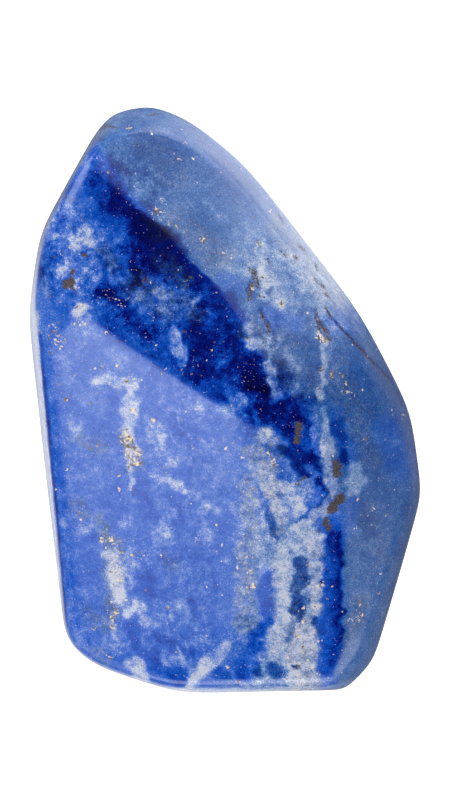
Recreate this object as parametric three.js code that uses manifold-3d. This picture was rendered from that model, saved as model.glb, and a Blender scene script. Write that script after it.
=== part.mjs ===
// A tumbled lapis lazuli: one solid stone with broad worn flats, soft ridges and an unpolished pit
// here and there, lying on the small flat of its underside.
//
// Millimetres, +Z up, Y along the longest side. The origin is on the surface that the stone lies on,
// under the middle of its length and width.
//
// Azimuths turn from +X towards +Y. A lean is the angle between a flat's outward normal and straight
// up: 0 is a level top, 90 an upright wall and 180 the underside.

import * as THREE from 'three';
import { mergeVertices } from 'three/addons/utils/BufferGeometryUtils.js';
import Module from 'manifold-3d';

// Driving dimensions of the finished stone.
const LENGTH = 35.1;
const WIDTH = 23.4;
const HEIGHT = 12.2;

// The stone is widest at its girdle. Its walls lean in above that height and undercut below it.
const GIRDLE_HEIGHT = 5.0;
const UNDERCUT_LEAN = 118;

// The underside narrows from the undercuts to the resting flat, around this point.
const KEEL_LEAN = 156;
const RESTING_FLAT_CENTRE = { x: -0.3, y: -1.2 };

// How far tumbling has rounded the edges between the top's flats, between the girdle's flats, and
// where those two groups meet. Worn edges draw in, so the girdle's flats start this much further out.
const TOP_EDGE_WEAR = 0.09;
const GIRDLE_EDGE_WEAR = 0.2;
const SHOULDER_EDGE_WEAR = 0.18;
const GIRDLE_DRAW_IN = 0.15;

// The flats of the top. The rise is the height at which the flat's plane crosses the Z axis.
const TOP_FLATS = [
  { name: 'broad front face', azimuth: 226, lean: 15.5, rise: 12.3 },
  { name: 'front foot', azimuth: 266, lean: 24, rise: 15.65 },
  { name: 'left cap', azimuth: 175, lean: 22, rise: 15.4 },
  { name: 'table', azimuth: 105, lean: 4, rise: 12.2 },
  { name: 'lower table', azimuth: 287, lean: 11.8, rise: 12.7 },
  { name: 'worn ridge', azimuth: 50, lean: 15, rise: 12.75 },
  { name: 'nose shoulder', azimuth: 70, lean: 38, rise: 20.25 },
  { name: 'upper shoulder', azimuth: 44.5, lean: 22, rise: 13.5 },
  { name: 'outer upper shoulder', azimuth: 38, lean: 38, rise: 16.25 },
  { name: 'bulge', azimuth: 12, lean: 12.5, rise: 12.7 },
  { name: 'right shoulder', azimuth: 8, lean: 30, rise: 15.2 },
  { name: 'outer right shoulder', azimuth: 8, lean: 42, rise: 18.1 },
  { name: 'lower right shoulder', azimuth: -14, lean: 36, rise: 17.1 },
  { name: 'right foot shoulder', azimuth: -50, lean: 36, rise: 20.8 },
];

// The walls, anticlockwise from the left. The reach is the distance from the Z axis at the girdle.
const WALLS = [
  { name: 'left', azimuth: 186.6, lean: 83.5, reach: 11.15 },
  { name: 'lower left corner', azimuth: 210, lean: 86, reach: 15.35 },
  { name: 'lower left turn', azimuth: 232, lean: 86, reach: 17.35 },
  { name: 'left foot', azimuth: 252, lean: 84, reach: 17.6 },
  { name: 'foot', azimuth: 271, lean: 83, reach: 17.55 },
  { name: 'lower right corner', azimuth: 315, lean: 77, reach: 17.5 },
  { name: 'lower right', azimuth: 343.7, lean: 77, reach: 13.05 },
  { name: 'right', azimuth: 8, lean: 79, reach: 11 },
  { name: 'middle right', azimuth: 27, lean: 76, reach: 9.65 },
  { name: 'upper right', azimuth: 38, lean: 75, reach: 9.65 },
  { name: 'top right', azimuth: 52, lean: 75, reach: 11.85 },
  { name: 'nose right', azimuth: 70, lean: 74, reach: 15 },
  { name: 'nose', azimuth: 100, lean: 74, reach: 18.05 },
  { name: 'nose left', azimuth: 130, lean: 80, reach: 17.4 },
  { name: 'upper left', azimuth: 151, lean: 87, reach: 14.45 },
  { name: 'middle left', azimuth: 171, lean: 86, reach: 12.45 },
];

// The flats around the resting flat. The reach is the distance from its centre at the surface.
const KEEL_FLATS = [
  { azimuth: 12, reach: 6 },
  { azimuth: 70, reach: 8.6 },
  { azimuth: 118, reach: 9.6 },
  { azimuth: 176, reach: 6.4 },
  { azimuth: 232, reach: 7.6 },
  { azimuth: 282, reach: 9.6 },
  { azimuth: 325, reach: 8.2 },
];

// The stone is shaped a little lower than its resting flat, which is then cut level at height 0.
const BELOW_RESTING_FLAT = 0.15;

// Open pits that the polish didn't reach, by their middle seen from above, longest way and depth.
const PITS = [
  { x: 1.75, y: 6.9, length: 1.9, width: 0.5, depth: 0.2, azimuth: 103 },
  { x: 2.5, y: 4.6, length: 1.2, width: 0.3, depth: 0.15, azimuth: 112 },
  { x: 5.7, y: 4.4, length: 2, width: 0.55, depth: 0.22, azimuth: 111 },
  { x: 7.6, y: 3.6, length: 3.4, width: 0.2, depth: 0.18, azimuth: 130 },
  { x: -7.1, y: 16.1, length: 1.2, width: 0.3, depth: 0.15, azimuth: 170 },
];

// A point well inside the stone, from which every point of its surface can be seen.
const HEART = new THREE.Vector3(-0.8, -1.2, 5.5);

// 20 * (SURFACE_STEPS + 1)^2 triangles cover the stone.
const SURFACE_STEPS = 20;
const PIT_SEGMENTS = 12;

const SURFACE_TOLERANCE = 1e-5;

// ---------------------------------------------------------------------------------------------
// The stone's flats as planes: a point is outside the plane when normal . point > offset.

function plane(azimuth, lean, throughPoint) {
  const turn = THREE.MathUtils.degToRad(azimuth);
  const tip = THREE.MathUtils.degToRad(lean);
  const normal = new THREE.Vector3(
    Math.sin(tip) * Math.cos(turn),
    Math.sin(tip) * Math.sin(turn),
    Math.cos(tip),
  );
  return { normal, offset: normal.dot(throughPoint) };
}

function pointAtReach(centre, azimuth, reach, height) {
  const turn = THREE.MathUtils.degToRad(azimuth);
  return new THREE.Vector3(
    centre.x + reach * Math.cos(turn),
    centre.y + reach * Math.sin(turn),
    height,
  );
}

function topPlanes() {
  return TOP_FLATS.map(({ azimuth, lean, rise }) => plane(azimuth, lean, new THREE.Vector3(0, 0, rise)));
}

function girdlePlanes() {
  const axis = { x: 0, y: 0 };
  const aroundGirdle = WALLS.flatMap(({ azimuth, lean, reach }) => {
    const point = pointAtReach(axis, azimuth, reach + GIRDLE_DRAW_IN, GIRDLE_HEIGHT);
    return [plane(azimuth, lean, point), plane(azimuth, UNDERCUT_LEAN, point)];
  });
  const aroundRestingFlat = KEEL_FLATS.map(({ azimuth, reach }) =>
    plane(azimuth, KEEL_LEAN, pointAtReach(RESTING_FLAT_CENTRE, azimuth, reach, 0)),
  );
  const restingFlat = plane(0, 180, new THREE.Vector3(0, 0, -BELOW_RESTING_FLAT));
  return [...aroundGirdle, ...aroundRestingFlat, restingFlat];
}

// ---------------------------------------------------------------------------------------------
// The worn stone is where a smooth greatest value of all the planes' distances is zero.

// The greatest value, rounded off over about the length `wear` where two values are alike.
function smoothMax(values, wear) {
  const greatest = Math.max(...values);
  const sum = values.reduce((total, value) => total + Math.exp((value - greatest) / wear), 0);
  return greatest + wear * Math.log(sum);
}

function stoneField() {
  const top = topPlanes();
  const girdle = girdlePlanes();
  const distances = (planes, point) => planes.map(({ normal, offset }) => normal.dot(point) - offset);
  return (point) => {
    const overTop = smoothMax(distances(top, point), TOP_EDGE_WEAR);
    const overGirdle = smoothMax(distances(girdle, point), GIRDLE_EDGE_WEAR);
    return smoothMax([overTop, overGirdle], SHOULDER_EDGE_WEAR);
  };
}

// The point where a ray from inside the stone leaves it, found by halving.
function leavePoint(field, start, direction) {
  const point = new THREE.Vector3();
  let inside = 0;
  let outside = LENGTH;
  while (outside - inside > SURFACE_TOLERANCE) {
    const middle = (inside + outside) / 2;
    point.copy(start).addScaledVector(direction, middle);
    if (field(point) > 0) {
      outside = middle;
    } else {
      inside = middle;
    }
  }
  return point.copy(start).addScaledVector(direction, outside);
}

// ---------------------------------------------------------------------------------------------
// Closed geometries, and the solids that they are joined and cut as.

function onlyPositions(geometry) {
  geometry.deleteAttribute('normal');
  geometry.deleteAttribute('uv');
  return mergeVertices(geometry, SURFACE_TOLERANCE);
}

// A ball whose points each slide out from the heart of the stone until they meet the worn surface.
// The ball is first flattened to the stone's proportions, so its triangles stay alike in size.
function stoneSkin(field) {
  const skin = onlyPositions(new THREE.IcosahedronGeometry(1, SURFACE_STEPS));
  const proportions = new THREE.Vector3(WIDTH, LENGTH, HEIGHT);
  const points = skin.attributes.position;
  const direction = new THREE.Vector3();
  for (let i = 0; i < points.count; i += 1) {
    direction.fromBufferAttribute(points, i).multiply(proportions).normalize();
    const surface = leavePoint(field, HEART, direction);
    points.setXYZ(i, surface.x, surface.y, surface.z);
  }
  return skin;
}

// Brings the skin to the exact length, width and height above the resting flat.
function fitToSize(skin) {
  skin.computeBoundingBox();
  const { min, max } = skin.boundingBox;
  skin.translate(-(min.x + max.x) / 2, -(min.y + max.y) / 2, 0);
  skin.scale(WIDTH / (max.x - min.x), LENGTH / (max.y - min.y), HEIGHT / max.z);
  return skin;
}

// A flattened ball lying in the surface at the pit's middle, its thin way along the surface's normal.
function pitGeometry(field, { x, y, length, width, depth, azimuth }) {
  const below = new THREE.Vector3(x, y, HEART.z);
  const surface = leavePoint(field, below, new THREE.Vector3(0, 0, 1));
  const step = 0.01;
  const slope = (dx, dy, dz) =>
    field(surface.clone().add(new THREE.Vector3(dx, dy, dz).multiplyScalar(step))) - field(surface);
  const normal = new THREE.Vector3(slope(1, 0, 0), slope(0, 1, 0), slope(0, 0, 1)).normalize();
  const turn = THREE.MathUtils.degToRad(azimuth);
  const across = normal.clone().cross(new THREE.Vector3(Math.cos(turn), Math.sin(turn), 0)).normalize();
  const along = across.clone().cross(normal);
  const pit = onlyPositions(new THREE.SphereGeometry(1, PIT_SEGMENTS, PIT_SEGMENTS / 2));
  pit.scale(length / 2, width / 2, depth);
  pit.applyMatrix4(new THREE.Matrix4().makeBasis(along, across, normal).setPosition(surface));
  return pit;
}

function slabBelowRestingFlat() {
  const thickness = 2;
  const slab = new THREE.BoxGeometry(2 * WIDTH, 2 * LENGTH, thickness);
  slab.translate(0, 0, -thickness / 2);
  return onlyPositions(slab);
}

function toSolid(wasm, geometry) {
  return new wasm.Manifold(
    new wasm.Mesh({
      numProp: 3,
      vertProperties: Float32Array.from(geometry.attributes.position.array),
      triVerts: Uint32Array.from(geometry.index.array),
    }),
  );
}

function toGeometry(solid) {
  const mesh = solid.getMesh();
  const geometry = new THREE.BufferGeometry();
  geometry.setAttribute('position', new THREE.BufferAttribute(mesh.vertProperties, mesh.numProp));
  geometry.setIndex(new THREE.BufferAttribute(mesh.triVerts, 1));
  geometry.computeVertexNormals();
  return geometry;
}

// ---------------------------------------------------------------------------------------------

const wasm = await Module();
wasm.setup();

function stoneGeometry() {
  const field = stoneField();
  const skin = toSolid(wasm, fitToSize(stoneSkin(field)));
  const pits = PITS.map((pit) => toSolid(wasm, pitGeometry(field, pit)));
  const slab = toSolid(wasm, slabBelowRestingFlat());
  return toGeometry(pits.reduce((stone, pit) => stone.subtract(pit), skin.subtract(slab)));
}

const lapis = new THREE.MeshStandardMaterial({ color: 0x2b4fb0, roughness: 0.12, metalness: 0 });

const stone = new THREE.Mesh(stoneGeometry(), lapis);
stone.name = 'stone';

const part = new THREE.Group();
part.add(stone);

export default part;
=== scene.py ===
"""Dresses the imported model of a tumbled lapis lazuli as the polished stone.

The frame's one solid is a coarser stand-in. Here nearly the same flats make a fine skin with the
stone's polish, its veins of white calcite, its flecks of pyrite and its open pits. Blender's own units
are metres. Shapes and marks are worked out in millimetres, and MM turns them into metres.
"""

import itertools

import bpy
import numpy as np
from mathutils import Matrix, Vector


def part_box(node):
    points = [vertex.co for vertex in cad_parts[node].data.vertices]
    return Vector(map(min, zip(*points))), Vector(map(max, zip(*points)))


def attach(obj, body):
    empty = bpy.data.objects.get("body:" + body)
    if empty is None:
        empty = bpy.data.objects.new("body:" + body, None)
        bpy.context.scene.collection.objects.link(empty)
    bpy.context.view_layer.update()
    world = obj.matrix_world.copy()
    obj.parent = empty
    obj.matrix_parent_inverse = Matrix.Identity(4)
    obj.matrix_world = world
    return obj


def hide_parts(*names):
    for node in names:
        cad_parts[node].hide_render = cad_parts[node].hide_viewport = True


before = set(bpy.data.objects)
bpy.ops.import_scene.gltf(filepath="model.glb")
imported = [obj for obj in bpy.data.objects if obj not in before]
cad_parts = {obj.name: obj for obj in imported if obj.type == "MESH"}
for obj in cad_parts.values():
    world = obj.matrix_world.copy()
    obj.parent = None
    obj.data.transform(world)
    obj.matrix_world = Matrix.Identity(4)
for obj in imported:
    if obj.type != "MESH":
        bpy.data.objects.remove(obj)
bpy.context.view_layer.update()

MM = 0.001
FRAME_LOW, FRAME_HIGH = (np.array(corner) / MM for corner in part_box("stone"))
WIDTH, LENGTH, HEIGHT = FRAME_HIGH - FRAME_LOW

# ---------------------------------------------------------------------------------------------
# The stone's flats: azimuth from +X towards +Y and lean from straight up, in degrees. They are those
# of the frame's solid, but for the worn ridge. It is turned 10 degrees farther here and its plane
# crosses the Z axis 0.5 mm higher. The wear between the top and the walls is wider, 0.28 for 0.18.

GIRDLE_HEIGHT = 5.0
UNDERCUT_LEAN = 118
KEEL_LEAN = 156
RESTING_FLAT_CENTRE = (-0.3, -1.2)
TOP_EDGE_WEAR = 0.09
GIRDLE_EDGE_WEAR = 0.2
SHOULDER_EDGE_WEAR = 0.28
GIRDLE_DRAW_IN = 0.15
BELOW_RESTING_FLAT = 0.15
WAVE_HEIGHT = 0.02
WAVE_SIZE = 5.0
HEART = np.array([-0.8, -1.2, 5.5])
COLUMNS = 540
ROWS = 183

# Azimuth, lean, and the height at which the flat's plane crosses the Z axis.
TOP_FLATS = [
    (226, 15.5, 12.3),  # broad front face
    (266, 24, 15.65),  # front foot
    (175, 22, 15.4),  # left cap
    (105, 4, 12.2),  # table
    (287, 11.8, 12.7),  # lower table
    (60, 15, 13.25),  # worn ridge
    (70, 38, 20.25),  # nose shoulder
    (44.5, 22, 13.5),  # upper shoulder
    (38, 38, 16.25),  # outer upper shoulder
    (12, 12.5, 12.7),  # bulge
    (8, 30, 15.2),  # right shoulder
    (8, 42, 18.1),  # outer right shoulder
    (-14, 36, 17.1),  # lower right shoulder
    (-50, 36, 20.8),  # right foot shoulder
]

# Two flats bulge a little like a ball: the place among the flats, the ball's radius, the middle of the
# bulge in the plan and how far it stands over the flat's plane.
CROWNS = [
    (0, 285, (-5, -2), 0.1),  # broad front face
    (7, 130, (2.8, 8.2), 0.06),  # upper shoulder
]

# Azimuth, lean, and the distance from the Z axis at the girdle.
WALLS = [
    (186.6, 83.5, 11.15),  # left
    (210, 86, 15.35),  # lower left corner
    (232, 86, 17.35),  # lower left turn
    (252, 84, 17.6),  # left foot
    (271, 83, 17.55),  # foot
    (315, 77, 17.5),  # lower right corner
    (343.7, 77, 13.05),  # lower right
    (8, 79, 11),  # right
    (27, 76, 9.65),  # middle right
    (38, 75, 9.65),  # upper right
    (52, 75, 11.85),  # top right
    (70, 74, 15),  # nose right
    (100, 74, 18.05),  # nose
    (130, 80, 17.4),  # nose left
    (151, 87, 14.45),  # upper left
    (171, 86, 12.45),  # middle left
]

# Azimuth, and the distance from the resting flat's centre at height 0.
KEEL_FLATS = [(12, 6), (70, 8.6), (118, 9.6), (176, 6.4), (232, 7.6), (282, 9.6), (325, 8.2)]

# ---------------------------------------------------------------------------------------------
# Open pits and a crack that the polish didn't reach: the two ends seen from above, half width, depth.

PITS = [
    (1.45, 7.8, 1.6, 7.6, 0.03, 0.05),
    (1.7, 7.6, 1.9, 6.9, 0.12, 0.075),
    (1.9, 6.9, 1.95, 6.6, 0.03, 0.05),
    (1.6, 6.9, 1.45, 6.4, 0.12, 0.06),
    (1.5, 6.3, 1.45, 6, 0.1, 0.05),
    (2, 6.2, 2.3, 6.1, 0.02, 0.04),
    (2.1, 5.25, 2.3, 5, 0.05, 0.05),
    (2.3, 4.9, 2.5, 4.5, 0.08, 0.05),
    (2.5, 4.5, 2.65, 4.05, 0.1, 0.06),
    (5.35, 5.4, 5.5, 5, 0.02, 0.06),
    (5.5, 4.9, 5.75, 4.4, 0.1, 0.1),
    (5.6, 4.4, 5.7, 4.2, 0.14, 0.075),
    (5.8, 4.5, 6.1, 4, 0.11, 0.09),
    (6.15, 3.75, 6.3, 3.6, 0.05, 0.05),
    (5.4, 8.1, 5.5, 7.8, 0.02, 0.03),
    (5.35, 7.25, 5.55, 7, 0.03, 0.04),
    (5.65, 6.95, 5.85, 6.7, 0.03, 0.04),
    (5.95, 6.4, 6.2, 6.1, 0.01, 0.035),
    (3.35, 8.8, 3.7, 8.6, 0.01, 0.03),
    (4.1, 8.6, 4.35, 8.3, 0.03, 0.035),
    (4.4, 9.3, 4.7, 9, 0.01, 0.03),
    (2, 9.4, 2.1, 9.1, 0.01, 0.03),
    (2.55, 8.4, 2.65, 8.1, 0.01, 0.025),
    (3.2, 11, 3.4, 10.6, 0.01, 0.025),
    (5.6, 1.95, 5.75, 1.8, 0.06, 0.05),
    (-7.5, 16.15, -7, 16.4, 0.02, 0.04),
    (-7, 16.4, -6.4, 16.2, 0.01, 0.04),
    (-4.6, 16.95, -4, 17.15, 0.01, 0.03),
]

CRACK = [(6.0, 5.5), (6.5, 4.8), (6.9, 4.25), (7.4, 3.75), (8.2, 2.95), (9.0, 2.1), (9.5, 1.6), (10.1, 0.9)]
CRACK_HALF_WIDTH = 0.01
CRACK_DEPTH = 0.06
PIT_BORDER = 0.3

# ---------------------------------------------------------------------------------------------
# Marks seen from above, as brush strokes laid one over another: the two ends, half width, softness
# of the edge, the value and how fully it covers what lies under it.

# Height under which the marks drift sideways down the walls, and how far they do for each millimetre.
DRIFT_START = 7.5
DRIFT_FOR_DROP = 0.5

# Heights at which the painted highlights and painted shade along the edges are gone and are whole.
PAINTED_LIGHT_GONE = 1.8
PAINTED_LIGHT_WHOLE = 4.2

# Calcite runs from -1, the darkest blue, over 0, deep blue, to 1, white.
CALCITE_GROUNDS = [
    (-6, -14, -6, 0, 6.5, 2.5, 0.38, 1),
    (-8, 3, -9, 5, 3, 1.5, 0.42, 1),
    (-2, -15, 1, -4, 2.5, 2.5, 0.4, 1),
    (-9, 8, -6, 15, 2.4, 1.5, 0.33, 1),
    (-5, 6, 0, 3, 3, 1, 0.06, 1),
    (-4.5, 9.5, -3, 8, 1.3, 1, -0.35, 1),
    (-1, 7, 1, 4, 1.3, 1, -0.3, 1),
    (-2, 3, 0.5, 1, 1.3, 1, -0.25, 1),
    (1, 3, 4, -3, 2.2, 1, -0.25, 1),
    (1.5, -4.5, 1.4, -13.5, 0.9, 1.2, 0.5, 1),
    (3.6, -5, 3.8, -16, 1.8, 1, 0.68, 1),
    (6.5, -8, 6.5, -15.5, 0.6, 0.5, 0, 1),
]
SHOULDER_GROUNDS = [
    (-6.5, 16.5, -3, 16.5, 1.5, 1.5, 0.38, 1),
    (-4, 14.5, 0, 14.5, 1.5, 2, 0.3, 1),
    (-3, 12.5, 3, 11, 1.2, 1.5, 0.4, 1),
    (-3, 10.5, 1.5, 6.5, 1.2, 1.5, 0.43, 1),
    (2.5, 8.5, 7.5, 3.5, 2.4, 1.5, 0.57, 1),
    (2, 4.5, 5.5, 2, 1.3, 1, 0.37, 1),
    (7.2, 2, 9.5, -1, 2.2, 1.5, 0.3, 1),
    (9, 0, 9.5, -8, 2.2, 1.5, 0.26, 1),
    (8.5, -8, 7.5, -16, 1.7, 1, 0.4, 1),
]

# The worn ridge between the table and the shoulder, from the nose to the foot: x, y, and how far the
# dull shoulder and the clear table blend there.
WORN_RIDGE = [
    (-9, 17, 0.3),
    (-7.7, 15.4, 0.2),
    (-7, 14.4, 0.15),
    (-5.9, 12.7, 0.25),
    (-4.5, 11.1, 0.35),
    (-3.2, 9.6, 0.12),
    (-2, 8.2, 0.08),
    (-0.3, 6.7, 0.08),
    (1, 5.3, 0.1),
    (2, 3.5, 0.4),
    (3.2, 1.5, 0.8),
    (4.8, 0, 0.8),
    (5.8, -2.5, 0.5),
    (6.7, -5, 0.3),
    (7, -7.5, 0.12),
    (7, -14.5, 0.12),
    (6.6, -16.5, 0.3),
    (6, -18, 0.5),
]

# How unevenly calcite is mixed into the blue, as the strength of its clouds and mottles.
UNEVENNESS_GROUNDS = [
    (-6, -14, -6, 0, 5.5, 2, 1.1, 1),
    (-2.5, -14, -2.5, 0.5, 1.8, 1.5, 1.45, 1),
    (-9.5, 9, -3, 5, 2.6, 1.5, 2, 1),
    (-8, 14, -5, 12, 1.5, 1.5, 1.7, 1),
    (-2.5, 3, 0, 3.5, 1.5, 1, 1.2, 1),
    (1.5, 3, 4, -4, 2.2, 1.5, 1.9, 1),
    (3.5, -5, 3.5, -16, 3, 1, 1.3, 1),
    (2.5, 8, 6, 4.5, 1.8, 1.5, 1.1, 1),
]

# How dusty the blue is, from 0, clear, to 1, steel blue.
DUST_GROUNDS = [
    (-6, -14, -6, 0, 6.5, 2.5, 0, 1),
    (-8, 3, -9, 5, 3, 1.5, 0.1, 1),
    (-2, -15, 1, -4, 2.5, 2.5, 0.1, 1),
    (-9, 12, -2, 5, 3.5, 1.5, 0.12, 1),
    (-2.5, 3, 0.5, 3.5, 1.5, 1, 0.1, 1),
    (1, 3, 4, -3, 2.2, 1, 0.1, 1),
    (4, -4.5, 4.2, -8, 1.8, 1, 0.3, 1),
    (3.6, -9, 3.9, -16, 2, 1, 0.8, 1),
    (2.7, -10.3, 2.5, -13.4, 0.55, 0.4, 0, 1),
    (2.2, -13.7, 0.9, -16.6, 0.55, 0.4, 0, 1),
    (6.4, -7, 6.5, -17, 0.9, 0.6, 0.05, 1),
    (5.3, -6.7, 6, -5, 0.4, 0.4, 0, 1),
]
CLEAR_SHOULDER = [
    (2.7, 4.9, 4, 4.6, 0.6, 0.6, 0.6, 1),
    (6.1, 5.2, 6.6, 4.2, 0.5, 0.5, 0.8, 1),
    (6.8, 5.8, 7.6, 4.4, 0.5, 0.5, 0.7, 1),
    (-0.2, 7.2, 0.8, 6.6, 0.5, 0.8, 0.5, 1),
    (6.9, -1.2, 7.1, -3.6, 0.6, 0.5, 0.7, 1),
    (7.4, -6.2, 7.2, -8, 0.5, 0.6, 0.5, 1),
    (9.6, -1.8, 10.6, -4, 0.8, 1, 0.5, 1),
]

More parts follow.
